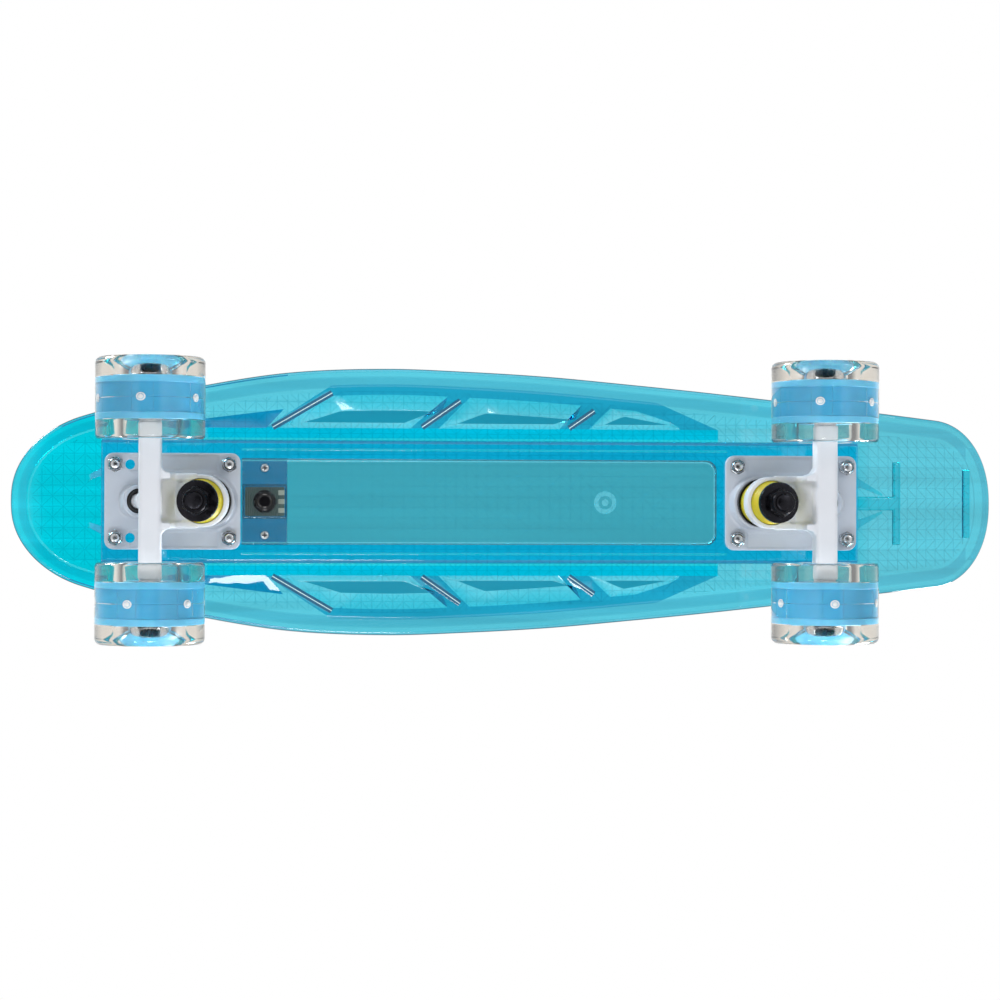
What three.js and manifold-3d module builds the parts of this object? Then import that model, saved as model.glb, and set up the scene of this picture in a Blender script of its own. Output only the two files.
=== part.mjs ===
// A cruiser skateboard: a clear moulded deck on two steering trucks with four light-up wheels.
// Millimetres, +Z up, the nose towards +X, the floor at z = 0 and x = 0 at the deck's mid-length.

import * as THREE from 'three';
import { mergeVertices } from 'three/addons/utils/BufferGeometryUtils.js';
import Module from 'manifold-3d';

const wasm = await Module();
wasm.setup();

// Fits, cutting allowances and roundness
const looseFit = 0.3;
const faceGap = 0.2;
const overrun = 2;
const wheelSides = 28;
const turnedSides = 18;
const smallSides = 12;
const hexSides = 6;

// Wheels
const wheelDiameter = 60;
const wheelWidth = 45;
const wheelLipWidth = 4;
const wheelLipHeight = 3.5;
const wheelFaceWall = 2;
const wheelRecessRadius = 15;
const wheelDishFloorRadius = 15.5;
const wheelTrack = 112.2;
const coreDiameter = 41;
const coreWidth = 24;
const coreFlangeWidth = 4;
const ledCount = 4;
const ledChipWidth = 3.5;
const ledChipProud = 0.7;

// Bearings, two in each wheel, with the magnet sleeve between them
const bearingOuterDiameter = 22;
const bearingWidth = 7;
const magnetSleeveRadius = 6.6;
const coreShoulderDepth = 1.5;

// Axle, its nuts and the collars that bear on the bearings' inner rings
const axleDiameter = 8;
const axleProud = 1.5;
const axleNutAcrossFlats = 13;
const axleNutHeight = 7;
const collarLength = 1;
const collarRadius = 6;

// Truck: the axle's place under the plate, and the leaning kingpin
const truckHeight = 43.5;
const axleOutset = 11.1;
const kingpinInset = 14;
const kingpinLeanDegrees = 10;
const kingpinDiameter = 9.5;
const kingpinHeadAcrossFlats = 14.3;
const kingpinHeadHeight = 4.8;
const kingpinProud = 1.6;
const kingpinNutAcrossFlats = 14.3;
const kingpinNutHeight = 7.5;
const kingpinBossDrop = 10.5;
const kingpinBossRadius = 15;
const kingpinBossFloor = 4;
const bushingRadius = 12.4;
const upperBushingHeight = 12.4;
const lowerBushingHeight = 11.5;
const lowerBushingTipRadius = 9.9;
const cupWasherThickness = 1.5;
const cupWasherLip = 1.5;
const cupWasherWall = 1;

// Base plate and the pivot cup in it
const plateEndMargin = 6.25;
const plateSideMargin = 6.5;
const plateThickness = 4.5;
const plateCornerRadius = 5;
const plateWebWidth = 14;
const plateWebDrop = 3.5;
const boltPatternLength = 63.5;
const boltPatternWidth = 41.3;
const spareHolePitch = 55.5;
const pivotOutset = 19;
const pivotDrop = 10;
const pivotBallRadius = 4.5;
const pivotNeckRadius = 3.7;
const pivotStemRadius = 6.5;
const pivotCupWall = 2;
const pivotCupMouth = 2.2;
const pivotStemFoot = 13;
const pivotStemFootOutset = 12.5;
const pivotBossWall = 2.4;

// Hanger: the bar that holds the axle, and the yoke that reaches to the bushings
const barWidth = 12.5;
const barHeight = 14;
const barCornerRadius = 3;
const yokeRingThickness = 7;
const yokeRingWall = 2;
const yokeRingRecess = 1.5;
const yokeHoleClearance = 3.6;
const yokeShoulder = 17;
const yokeArmThickness = 8;

// Fasteners that hold a truck to the deck
const boltDiameter = 5;
const boltHeadRadius = 4.6;
const boltHeadDepth = 2.6;
const boltProud = 1.5;
const boltNutAcrossFlats = 8;
const boltNutHeight = 5;
const boltHoleClearance = 0.3;

// Deck
const deckLength = 569.5;
const deckWidth = 152;
const skinThickness = 4.2;
const hullThickness = 6.2;
const spineThickness = 9.5;
const deckEdgeRadius = 1.9;
const hullChamfer = 1;
const flangeWidth = 9;
const spineSideMargin = 41;
const spineEndMargin = 2;
const spineRound = 2.5;
const noseCapLength = 42;
const tailCapLength = 36;
const nosePower = 2.4;
const tailPower = 2.2;
const capEndShare = 0.01;
const frontPatternSetback = 91.1;
const rearPatternSetback = 125.5;
const kickLength = 90;
const kickRadius = 130;
const kickDegrees = 18;
const noseRise = 4;
const noseRiseLength = 45;

// The deck's side line: distances from the nose as shares of the length, widths as shares of the width
const sidePlaceShares = [
  0, 0.076, 0.135, 0.194, 0.274, 0.373, 0.454, 0.534, 0.615, 0.697, 0.804, 0.878, 1,
];
const sideWidthShares = [
  0.474, 0.646, 0.776, 0.872, 0.966, 1, 0.982, 0.949, 0.896, 0.837, 0.75, 0.688, 0.597,
];

// Ribs and pockets under the deck. Shares place the beads across the rails, and the struts and the slants of
// their walls along the pods.
const panelNoseMargin = 0.6;
const panelTailMargin = 4.7;
const panelCornerRadius = 6;
const beadPlaceShare = 0.45;
const beadWidth = 1.5;
const beadDepth = 0.6;
const podSpineMargin = 7;
const podMargin = 15;
const podRimWidth = 6;
const nosePlateauSetback = 85;
const podTailRimLength = 31;
const podNoseSetback = 55.65;
const podTailSetback = 72.25;
const podNoseSlantShare = 0.1244444;
const podTailSlantShare = -0.0266667;
const strutWidth = 18;
const frontStrutShare = 0.32;
const frontStrutSlantShare = 0.1022222;
const rearStrutShare = 0.7066667;
const rearStrutSlantShare = 0.0622222;
const noseWedgeLength = 17;
const noseWedgeSpread = 17;
const noseWedgeTipSpread = 9;
const tailWedgeLength = 18;
const tailWedgeSpread = 13;
const tailWedgeTipSpread = 4;
const wedgeWidth = 3;
const wedgeDepth = 4.5;
const tailRibWidth = 8;
const tailBandSetback = 60.95;
const tailBandLength = 5;
const tailBandWidth = 48;
const endBandSetback = 15.75;
const endBandWidth = 40;
const tailBandDepth = 1.6;

// Light module in the nose end of the panel pocket
const moduleLength = 25.4;
const moduleWidth = 49.4;
const coverThickness = 2;
const coverBoxWidth = 19.6;
const coverBoxDrop = 4.5;
const coverWall = 1.2;
const screwSpread = 38;
const screwPostRadius = 3;
const screwRadius = 1.1;
const screwHeadRadius = 2.3;
const screwHeadHeight = 1.2;
const screwBite = 2.2;
const buttonRadius = 5.5;
const buttonProud = 1;
const buttonFlangeWidth = 1;
const buttonFlangeThickness = 1;
const buttonTravel = 0.8;
const switchWidth = 6;
const switchHeight = 1.3;
const boardThickness = 1;
const cellDiameter = 16;
const cellHeight = 3;
const lightLedCount = 3;
const lightLedPitch = 5;
const lightLedLength = 3.5;
const lightLedWidth = 2.8;
const lightLedHeight = 1.4;

// Places worked out from the sizes above
const degrees = THREE.MathUtils.degToRad;
const wheelRadius = wheelDiameter / 2;
const coreRadius = coreDiameter / 2;
const axleHeight = wheelRadius;
const mountHeight = axleHeight + truckHeight;
const deckTop = mountHeight + spineThickness;
const skinUnderside = deckTop - skinThickness;
const frontTruckX = deckLength / 2 - frontPatternSetback;
const rearTruckX = rearPatternSetback - deckLength / 2;
const lean = degrees(kingpinLeanDegrees);
const seatHeight = mountHeight - kingpinBossDrop;
const seatX = -kingpinInset - (seatHeight - axleHeight) * Math.tan(lean);
const plateLength = boltPatternLength + 2 * plateEndMargin;
const plateWidth = boltPatternWidth + 2 * plateSideMargin;
const bossReach = kingpinBossDrop * Math.tan(lean) - seatX + kingpinBossRadius / Math.cos(lean);
const plateReach = Math.max(plateLength / 2, bossReach);
const bearingOuterRadius = bearingOuterDiameter / 2;
const axleRadius = axleDiameter / 2;
const axleBoreRadius = axleRadius + looseFit;
const coreInnerFace = wheelTrack / 2 - coreWidth / 2;
const coreOuterFace = wheelTrack / 2 + coreWidth / 2;
const panelNoseEnd = frontTruckX - plateReach - panelNoseMargin;
const panelTailEnd = rearTruckX + plateReach + panelTailMargin;
const panelWidth = moduleWidth + 2 * looseFit;
const moduleX = panelNoseEnd - looseFit - moduleLength / 2;
const spineWidth = deckWidth - 2 * spineSideMargin;
const spineNoseEnd = frontTruckX + plateLength / 2 + spineEndMargin;
const spineTailEnd = rearTruckX - plateLength / 2 - spineEndMargin;
const beadInset = THREE.MathUtils.lerp(panelWidth / 2, spineWidth / 2, beadPlaceShare);
const podInnerInset = spineWidth / 2 + podSpineMargin;
const podNoseCorner = frontTruckX - podNoseSetback;
const podTailCorner = rearTruckX + podTailSetback;
const podLength = podNoseCorner - podTailCorner;
const nosePlateauEnd = deckLength / 2 - nosePlateauSetback;
const hullUnderside = deckTop - hullThickness;
const hullTailEnd = podTailCorner - podTailRimLength;
const tailBandPlace = tailBandSetback - deckLength / 2;
const endBandPlace = endBandSetback - deckLength / 2;
const hangerHalfLength = coreInnerFace - faceGap - collarLength;
const axleNutInner = coreOuterFace + faceGap;
const axleHalfLength = axleNutInner + collarLength + axleNutHeight + axleProud;

// Materials
function plastic(colour, opacity, roughness) {
  return new THREE.MeshStandardMaterial({
    color: colour, roughness, metalness: 0, transparent: opacity < 1, opacity,
  });
}

function metal(colour, roughness) {
  return new THREE.MeshStandardMaterial({ color: colour, roughness, metalness: 1 });
}

const materials = {
  clearTurquoise: plastic(0x2bb8d2, 0.75, 0.12),
  clearSmoke: plastic(0xb8c8cc, 0.6, 0.2),
  clearTyre: plastic(0xdfe9ea, 0.45, 0.15),
  blueCore: plastic(0x4fb0e0, 1, 0.35),
  whitePaint: plastic(0xe6e6ea, 1, 0.35),
  yellowRubber: plastic(0xe8d810, 1, 0.5),
  blackPlastic: plastic(0x1c1d20, 1, 0.45),
  boardGreen: plastic(0x2a5c3c, 1, 0.5),
  blackSteel: metal(0x25262a, 0.4),
  zincSteel: metal(0xc4c7cc, 0.3),
  brightSteel: metal(0xd6d8dc, 0.2),
  darkMagnet: metal(0x4a4c50, 0.45),
};

// Turns a mesh whose faces point inwards right side out.
function facingOut(geometry) {
  const closed = geometry.index ? geometry.toNonIndexed() : geometry;
  const place = closed.getAttribute('position');
  const corners = [new THREE.Vector3(), new THREE.Vector3(), new THREE.Vector3()];
  let volume = 0;
  for (let i = 0; i < place.count; i += 3) {
    corners.forEach((corner, k) => corner.fromBufferAttribute(place, i + k));
    volume += corners[0].dot(corners[1].clone().cross(corners[2]));
  }
  if (volume > 0) return geometry;
  const order = [];
  for (let i = 0; i < place.count; i += 3) order.push(i, i + 2, i + 1);
  const flipped = new THREE.BufferGeometry();
  flipped.setAttribute('position', place);
  flipped.setIndex(order);
  return mergeVertices(flipped);
}

function solid(geometry) {
  const bare = facingOut(geometry).clone();
  bare.deleteAttribute('normal');
  bare.deleteAttribute('uv');
  const merged = mergeVertices(bare);
  return new wasm.Manifold(new wasm.Mesh({
    numProp: 3,
    vertProperties: new Float32Array(merged.getAttribute('position').array),
    triVerts: new Uint32Array(merged.index.array),
  }));
}

function geometryOf(body) {
  const mesh = body.getMesh();
  const geometry = new THREE.BufferGeometry();
  geometry.setAttribute('position', new THREE.BufferAttribute(mesh.vertProperties, 3));
  geometry.setIndex(new THREE.BufferAttribute(mesh.triVerts, 1));
  return geometry;
}

// Joins the first list of geometries and cuts the second list out of them.
function shaped(joined, cut = []) {
  let body = solid(joined[0]);
  for (const geometry of joined.slice(1)) body = body.add(solid(geometry));
  for (const geometry of cut) body = body.subtract(solid(geometry));
  return geometryOf(body);
}

function common(first, second) {
  return geometryOf(solid(first).intersect(solid(second)));
}

// A post along +Z from z = from to z = to, round or with a few sides.
function post(radius, from, to, sides = turnedSides, tipRadius = radius) {
  const geometry = new THREE.CylinderGeometry(tipRadius, radius, to - from, sides);
  geometry.rotateX(Math.PI / 2);
  geometry.translate(0, 0, (from + to) / 2);
  return geometry;
}

function hexPost(acrossFlats, from, to) {
  return post(acrossFlats / 2 / Math.cos(Math.PI / hexSides), from, to, hexSides);
}

function block(x, y, z) {
  const geometry = new THREE.BoxGeometry(x[1] - x[0], y[1] - y[0], z[1] - z[0]);
  geometry.translate((x[0] + x[1]) / 2, (y[0] + y[1]) / 2, (z[0] + z[1]) / 2);
  return geometry;
}

// A solid of revolution about +Z from [radius, z] points that close on themselves.
function turned(points, sides = turnedSides) {
  const closed = [...points, points[0]].map(([radius, z]) => new THREE.Vector2(radius, z));
  const geometry = new THREE.LatheGeometry(closed, sides);
  geometry.rotateX(Math.PI / 2);
  return facingOut(geometry);
}

function ringBetween(innerRadius, outerRadius, from, to, sides = turnedSides) {
  return turned([[innerRadius, from], [outerRadius, from], [outerRadius, to], [innerRadius, to]], sides);
}

function roundedRectangle(width, height, radius) {
  const shape = new THREE.Shape();
  const right = width / 2 - radius;
  const top = height / 2 - radius;
  shape.absarc(right, top, radius, 0, Math.PI / 2);
  shape.absarc(-right, top, radius, Math.PI / 2, Math.PI);
  shape.absarc(-right, -top, radius, Math.PI, Math.PI * 1.5);
  shape.absarc(right, -top, radius, Math.PI * 1.5, Math.PI * 2);
  return shape;
}

function polygon(points) {
  return new THREE.Shape(points.map(([x, y]) => new THREE.Vector2(x, y)));
}

function extruded(shape, from, to, curveSegments = 3) {
  const geometry = new THREE.ExtrudeGeometry(shape, { depth: to - from, bevelEnabled: false, curveSegments });
  geometry.translate(0, 0, from);
  return geometry;
}

// Skins a row of rings that hold the same number of points, and closes both ends with fans.
function lofted(rings) {
  const size = rings[0].length;
  const points = rings.flat();
  const order = [];
  for (let i = 0; i + 1 < rings.length; i += 1) {
    for (let j = 0; j < size; j += 1) {
      const a = i * size + j;
      const b = i * size + (j + 1) % size;
      order.push(a, b, a + size, b, b + size, a + size);
    }
  }
  [0, rings.length - 1].forEach((end) => {
    const centre = points.length;
    const middle = new THREE.Vector3();
    rings[end].forEach((point) => middle.addScaledVector(point, 1 / size));
    points.push(middle);
    for (let j = 0; j < size; j += 1) {
      const a = end * size + j;
      const b = end * size + (j + 1) % size;
      order.push(...(end === 0 ? [centre, b, a] : [centre, a, b]));
    }
  });
  const geometry = new THREE.BufferGeometry().setFromPoints(points);
  geometry.setIndex(order);
  return facingOut(geometry);
}

// The deck's outline and side view
const sideLine = new THREE.CubicInterpolant(sidePlaceShares, sideWidthShares, 1);

function capShare(distance, length, power) {
  const reach = Math.max(distance, capEndShare * length);
  const left = Math.max(1 - reach / length, 0);
  return (1 - left ** power) ** (1 / power);
}

// Half the width of the outline, drawn in by inset all round.
function halfWidthAt(x, inset = 0) {
  const fromNose = deckLength / 2 - x;
  const fromTail = deckLength / 2 + x;
  const side = sideLine.evaluate(fromNose / deckLength)[0] * deckWidth / 2 - inset;
  const noseCap = capShare(fromNose - inset, noseCapLength - inset, nosePower);
  const tailCap = capShare(fromTail - inset, tailCapLength - inset, tailPower);
  return side * noseCap * tailCap;
}

// How far the kicked tail and the lifted nose stand above the flat of the deck.
function riseAt(x) {
  const kickAngle = degrees(kickDegrees);
  const along = kickLength - deckLength / 2 - x;
  const arcLength = kickRadius * Math.sin(kickAngle);
  const noseShare = Math.max((x - deckLength / 2 + noseRiseLength) / noseRiseLength, 0);
  if (along <= 0) return noseRise * noseShare ** 2;
  if (along < arcLength) return kickRadius - Math.sqrt(kickRadius ** 2 - along ** 2);
  return kickRadius * (1 - Math.cos(kickAngle)) + (along - arcLength) * Math.tan(kickAngle);
}

// Places along the deck, close together where the outline or the side view bends.
function deckPlaces(from, to) {
  const capSteps = 6;
  const kickSteps = 4;
  const flatSteps = 10;
  const noseSteps = 3;
  const kickFront = kickLength - deckLength / 2;
  const noseBack = deckLength / 2 - noseRiseLength;
  const places = [];
  for (let i = 0; i <= capSteps; i += 1) {
    const share = 1 - Math.cos(Math.PI / 2 * i / capSteps);
    places.push(from + share * (tailCapLength - from - deckLength / 2));
  }
  const addBetween = (start, end, steps) => {
    for (let i = 1; i <= steps; i += 1) places.push(THREE.MathUtils.lerp(start, end, i / steps));
  };
  addBetween(places[places.length - 1], kickFront, kickSteps);
  addBetween(kickFront, noseBack, flatSteps);
  const noseStart = to - (to - noseBack) * (1 - 1 / (noseSteps + 1));
  places.push(noseStart);
  for (let i = capSteps - 1; i >= 0; i -= 1) {
    const share = 1 - Math.cos(Math.PI / 2 * i / capSteps);
    places.push(to - share * (to - noseStart));
  }
  return places;
}

// One cross-section of a deck layer, rounded or chamfered at its four corners.
function deckRing(x, halfWidth, top, bottom, topRound, bottomRound) {
  const roundShares = [[1, 0], [0.3, 0.3], [0, 1]];
  const rise = riseAt(x);
  const corner = (level, round, direction) => roundShares.map(([across, along]) => (
    [halfWidth - across * round, level + direction * along * round]
  ));
  const half = [...corner(top, topRound, -1), ...corner(bottom, bottomRound, 1).toReversed()];
  const other = half.toReversed().map(([y, z]) => [-y, z]);
  return [...half, ...other].map(([y, z]) => new THREE.Vector3(x, y, z + rise));
}

function deckSkin() {
  const places = deckPlaces(-deckLength / 2, deckLength / 2);
  return lofted(places.map((x) => (
    deckRing(x, halfWidthAt(x), deckTop, skinUnderside, deckEdgeRadius, deckEdgeRadius)
  )));
}

// A straight line through two points, carried on to another distance from the middle of the deck.
function carriedOut([x1, y1], [x2, y2], reach) {
  return [x1 + (x2 - x1) * (reach - y1) / (y2 - y1), reach];
}

// Where one side steps back to the bare skin: between the nose and the pod, and behind the pod.
function hullStep(side) {
  const outside = deckWidth / 2;
  const noseRim = podNoseCorner + podRimWidth;
  const noseSlant = podNoseSlantShare * podLength;
  const tailRim = podTailCorner + podRimWidth;
  const front = [[nosePlateauEnd, outside], [nosePlateauEnd, podInnerInset], [noseRim, podInnerInset],
    carriedOut([noseRim, podInnerInset],
      [noseRim - noseSlant, halfWidthAt(podNoseCorner - noseSlant, podMargin)], outside)];
  const back = [[hullTailEnd - overrun, outside], [hullTailEnd - overrun, podInnerInset],
    [hullTailEnd, podInnerInset],
    carriedOut([hullTailEnd, podInnerInset], [tailRim, halfWidthAt(tailRim, flangeWidth)], outside)];
  return [front, back].map((points) => extruded(polygon(points.map(([x, y]) => [x, side * y])),
    mountHeight - overrun, deckTop + overrun));
}

// The thicker middle of the deck: a plateau under the nose, and the rims of the side pods.
function deckHull() {
  const end = deckLength / 2 - flangeWidth;
  const top = deckTop - skinThickness / 2;
  const places = deckPlaces(-end, end).filter((x) => x > hullTailEnd);
  const whole = lofted([hullTailEnd, ...places].map((x) => (
    deckRing(x, halfWidthAt(x, flangeWidth), top, hullUnderside, hullChamfer, hullChamfer)
  )));
  return shaped([whole], [1, -1].flatMap((side) => hullStep(side)));
}

function deckSpine() {
  const top = deckTop - skinThickness / 2;
  const between = deckPlaces(-deckLength / 2, deckLength / 2)
    .filter((x) => x > spineTailEnd && x < spineNoseEnd);
  return lofted([spineTailEnd, ...between, spineNoseEnd].map((x) => (
    deckRing(x, spineWidth / 2, top, mountHeight, hullChamfer, spineRound)
  )));
}

// The long recess in the middle: square where the light module fills it, round at its tail end.
function panelPocket() {
  const half = panelWidth / 2;
  const roundX = panelTailEnd + panelCornerRadius;
  const roundY = half - panelCornerRadius;
  const plan = new THREE.Shape();
  plan.moveTo(panelNoseEnd, -half);
  plan.lineTo(panelNoseEnd, half);
  plan.absarc(roundX, roundY, panelCornerRadius, Math.PI / 2, Math.PI);
  plan.absarc(roundX, -roundY, panelCornerRadius, Math.PI, Math.PI * 1.5);
  return extruded(plan, mountHeight - beadDepth - overrun, skinUnderside);
}

// One pocket of a side pod, between two slanted walls and the curved outer edge.
function podPocket(side, nose, tail) {
  const edgeSteps = 4;
  const outline = [[tail.corner, side * podInnerInset], [nose.corner, side * podInnerInset]];
  for (let i = 0; i <= edgeSteps; i += 1) {
    const x = THREE.MathUtils.lerp(nose.corner - nose.slant, tail.corner - tail.slant, i / edgeSteps);
    outline.push([x, side * halfWidthAt(x, podMargin)]);
  }
  return extruded(polygon(outline), mountHeight - overrun, skinUnderside);
}

function podPockets() {
  const wall = (placeShare, slantShare) => (
    { corner: podNoseCorner - placeShare * podLength, slant: slantShare * podLength }
  );
  const struts = [wall(frontStrutShare, frontStrutSlantShare), wall(rearStrutShare, rearStrutSlantShare)];
  const noseWalls = [
    wall(0, podNoseSlantShare),
    ...struts.map(({ corner, slant }) => ({ corner: corner - strutWidth, slant })),
  ];
  const tailWalls = [...struts, wall(1, podTailSlantShare)];
  return [1, -1].flatMap((side) => noseWalls.map((nose, i) => podPocket(side, nose, tailWalls[i])));
}

function deckBeads() {
  return [1, -1].map((side) => block(
    [panelTailEnd - panelCornerRadius, panelNoseEnd],
    [side * beadInset - beadWidth / 2, side * beadInset + beadWidth / 2],
    [mountHeight - beadDepth, deckTop - skinThickness / 2],
  ));
}

// The level of the middle of the skin.
function middleAt(x) {
  return riseAt(x) + deckTop - skinThickness / 2;
}

// A rib from one end of the spine to a tip where it meets the underside; outward is +1 at the nose.
function wedgeRib(outward, side, { root, length, spread, tipSpread, meets }) {
  const rib = extruded(polygon([
    [0, skinUnderside - wedgeDepth],
    [outward * length, riseAt(root + outward * length) + meets],
    [outward * length, middleAt(root + outward * length)],
    [0, middleAt(root)],
  ]), -wedgeWidth / 2, wedgeWidth / 2);
  rib.rotateX(Math.PI / 2);
  rib.rotateZ(-outward * side * Math.atan((spread - tipSpread) / length));
  rib.translate(root, side * spread, 0);
  return rib;
}

function wedgeRibs() {
  const nose = {
    root: spineNoseEnd - hullChamfer * 2, length: noseWedgeLength, spread: noseWedgeSpread,
    tipSpread: noseWedgeTipSpread, meets: hullUnderside,
  };
  const tail = {
    root: spineTailEnd + hullChamfer * 2, length: tailWedgeLength, spread: tailWedgeSpread,
    tipSpread: tailWedgeTipSpread, meets: skinUnderside,
  };
  return [1, -1].flatMap((side) => [wedgeRib(1, side, nose), wedgeRib(-1, side, tail)]);
}

// A low bar across the underside of the kick.
function tailBand(place, width) {
  const slope = (riseAt(place - tailBandLength) - riseAt(place)) / tailBandLength;
  const band = block([-tailBandLength / 2, tailBandLength / 2], [-width / 2, width / 2],
    [-tailBandDepth, skinThickness / 2]);
  band.rotateY(Math.atan(slope));
  band.translate(place, 0, skinUnderside + riseAt(place));
  return band;
}

// The low rib that joins the end of the spine to the first band.
function tailRib() {
  const start = spineTailEnd + hullChamfer;
  const rib = extruded(polygon([
    [start, middleAt(start)], [start, riseAt(start) + skinUnderside - tailBandDepth],
    [tailBandPlace, riseAt(tailBandPlace) + skinUnderside - tailBandDepth],
    [tailBandPlace, middleAt(tailBandPlace)],
  ]), -tailRibWidth / 2, tailRibWidth / 2);
  rib.rotateX(Math.PI / 2);
  return rib;
}

function boltPlaces() {
  return [[1, 1], [-1, 1], [-1, -1], [1, -1]].map(([a, b]) => (
    [a * boltPatternLength / 2, b * boltPatternWidth / 2]
  ));
}

function boltHoles(truckX) {
  const shaft = boltDiameter / 2 + boltHoleClearance;
  const head = boltHeadRadius + looseFit;
  return boltPlaces().flatMap(([x, y]) => {
    const hole = post(shaft, mountHeight - overrun, deckTop + overrun, smallSides);
    const sink = post(shaft, deckTop - boltHeadDepth - looseFit, deckTop, smallSides, head);
    const mouth = post(head, deckTop, deckTop + overrun, smallSides);
    return [hole, sink, mouth].map((cut) => cut.translate(truckX + x, y, 0));
  });
}

function deck() {
  const screwHoles = [1, -1].map((side) => post(screwRadius + looseFit, skinUnderside - overrun,
    skinUnderside + screwBite + looseFit, smallSides).translate(moduleX, side * screwSpread / 2, 0));
  const bands = [tailBand(tailBandPlace, tailBandWidth), tailBand(endBandPlace, endBandWidth)];
  const joined = [deckSkin(), deckHull(), deckSpine(), ...deckBeads(), tailRib(), ...bands];
  const holes = [...boltHoles(frontTruckX), ...boltHoles(rearTruckX), ...screwHoles];
  return shaped([...joined, ...wedgeRibs()], [panelPocket(), ...podPockets(), ...holes]);
}

const root = new THREE.Group();

function addMesh(parent, name, geometry, material) {
  const mesh = new THREE.Mesh(geometry, material);
  mesh.name = name;
  parent.add(mesh);
  return mesh;
}

addMesh(root, 'deck', deck(), materials.clearTurquoise);

// Light module: a clear cover with two screwed wings, a coin cell, a circuit board and a push button
const boxFace = mountHeight - coverBoxDrop;
const coverTop = skinUnderside - faceGap;
const flangeUnder = boxFace + coverWall + faceGap;
const flangeTop = flangeUnder + buttonFlangeThickness;
const switchUnder = flangeTop + buttonTravel + faceGap;
const boardUnder = switchUnder + switchHeight;
const boardTop = boardUnder + boardThickness;
const cavityLength = moduleLength - 2 * coverWall;
const cavityWidth = coverBoxWidth - 2 * coverWall;

function centred(length) {
  return [-length / 2, length / 2];
}

function lightCover() {
  const plateTop = mountHeight + coverThickness;
  const plate = block(centred(moduleLength), centred(moduleWidth), [mountHeight, plateTop]);
  const box = block(centred(moduleLength), centred(coverBoxWidth), [boxFace, coverTop]);
  const atScrews = (radius, from, to) => [1, -1].map((side) => (
    post(radius, from, to, smallSides).translate(0, side * screwSpread / 2, 0)
  ));
  const posts = atScrews(screwPostRadius, plateTop - coverThickness / 2, coverTop);
  const holes = atScrews(screwRadius + looseFit, mountHeight - overrun, coverTop + overrun);
  const cavity = block(centred(cavityLength), centred(cavityWidth),
    [boxFace + coverWall, coverTop + overrun]);
  const buttonHole = post(buttonRadius + looseFit, boxFace - overrun, boxFace + coverWall + overrun);
  return shaped([plate, box, ...posts], [...holes, cavity, buttonHole]);
}

function lightButton() {
  const cap = post(buttonRadius, boxFace - buttonProud, flangeTop);
  return shaped([cap, post(buttonRadius + buttonFlangeWidth, flangeUnder, flangeTop)]);
}

// The circuit board with the push switch and the lamps on its underside.
function lightBoard() {
  const board = block(centred(cavityLength - 2 * looseFit), centred(cavityWidth - 2 * looseFit),
    [boardUnder, boardTop]);
  const middle = boardTop - boardThickness / 2;
  const pushSwitch = block(centred(switchWidth), centred(switchWidth), [switchUnder, middle]);
  const tailFace = -cavityLength / 2 + 2 * looseFit;
  const first = -lightLedPitch * (lightLedCount - 1) / 2;
  const lamps = Array.from({ length: lightLedCount }, (_, i) => block(
    [tailFace, tailFace + lightLedLength], centred(lightLedWidth), [boardUnder - lightLedHeight, middle],
  ).translate(0, first + i * lightLedPitch, 0));
  return shaped([board, pushSwitch, ...lamps]);
}

function lightCell() {
  const under = boardTop + faceGap;
  return post(cellDiameter / 2, under, under + cellHeight);
}

function lightScrew(side) {
  const under = mountHeight - faceGap;
  const head = post(screwHeadRadius, under - screwHeadHeight, under, smallSides);
  const shank = post(screwRadius, under - screwHeadHeight / 2, skinUnderside + screwBite, smallSides);
  return shaped([head, shank]).translate(0, side * screwSpread / 2, 0);
}

const lightModule = new THREE.Group();
lightModule.position.x = moduleX;
root.add(lightModule);
addMesh(lightModule, 'light_cover', lightCover(), materials.clearSmoke);
addMesh(lightModule, 'light_button', lightButton(), materials.blackPlastic);
addMesh(lightModule, 'light_board', lightBoard(), materials.boardGreen);
addMesh(lightModule, 'light_cell', lightCell(), materials.brightSteel);
addMesh(lightModule, 'light_screw_left', lightScrew(1), materials.zincSteel);
addMesh(lightModule, 'light_screw_right', lightScrew(-1), materials.zincSteel);

// Truck frame: x is outboard from the bolt pattern's centre, towards the deck's nearer end
const stackPlace = new THREE.Matrix4().makeRotationY(-lean).setPosition(seatX, 0, seatHeight);
const kingpinRadius = kingpinDiameter / 2;
const kingpinBore = kingpinRadius + looseFit;
const headCornerRadius = kingpinHeadAcrossFlats / 2 / Math.cos(Math.PI / hexSides);

// Levels along the kingpin, down from the seat on the base plate
const upperWasherTop = -faceGap;
const upperWasherUnder = upperWasherTop - cupWasherThickness;
const upperBushingTop = upperWasherUnder - faceGap;
const upperBushingUnder = upperBushingTop - upperBushingHeight;
const ringUpperFloor = upperBushingUnder - faceGap;
const ringTop = ringUpperFloor + yokeRingRecess;
const ringUnder = ringTop - yokeRingThickness;
const ringLowerFloor = ringUnder + yokeRingRecess;
const lowerBushingTop = ringLowerFloor - faceGap;
const lowerBushingUnder = lowerBushingTop - lowerBushingHeight;
const lowerWasherTop = lowerBushingUnder - faceGap;
const lowerWasherUnder = lowerWasherTop - cupWasherThickness;
const kingpinNutTop = lowerWasherUnder - faceGap;
const kingpinNutUnder = kingpinNutTop - kingpinNutHeight;
const kingpinEnd = kingpinNutUnder - kingpinProud;
const ringRadius = bushingRadius + looseFit + yokeRingWall;

function onStack(geometry) {
  return geometry.applyMatrix4(stackPlace);
}

function stackPoint(level) {
  return new THREE.Vector3(0, 0, level).applyMatrix4(stackPlace);
}

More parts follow.
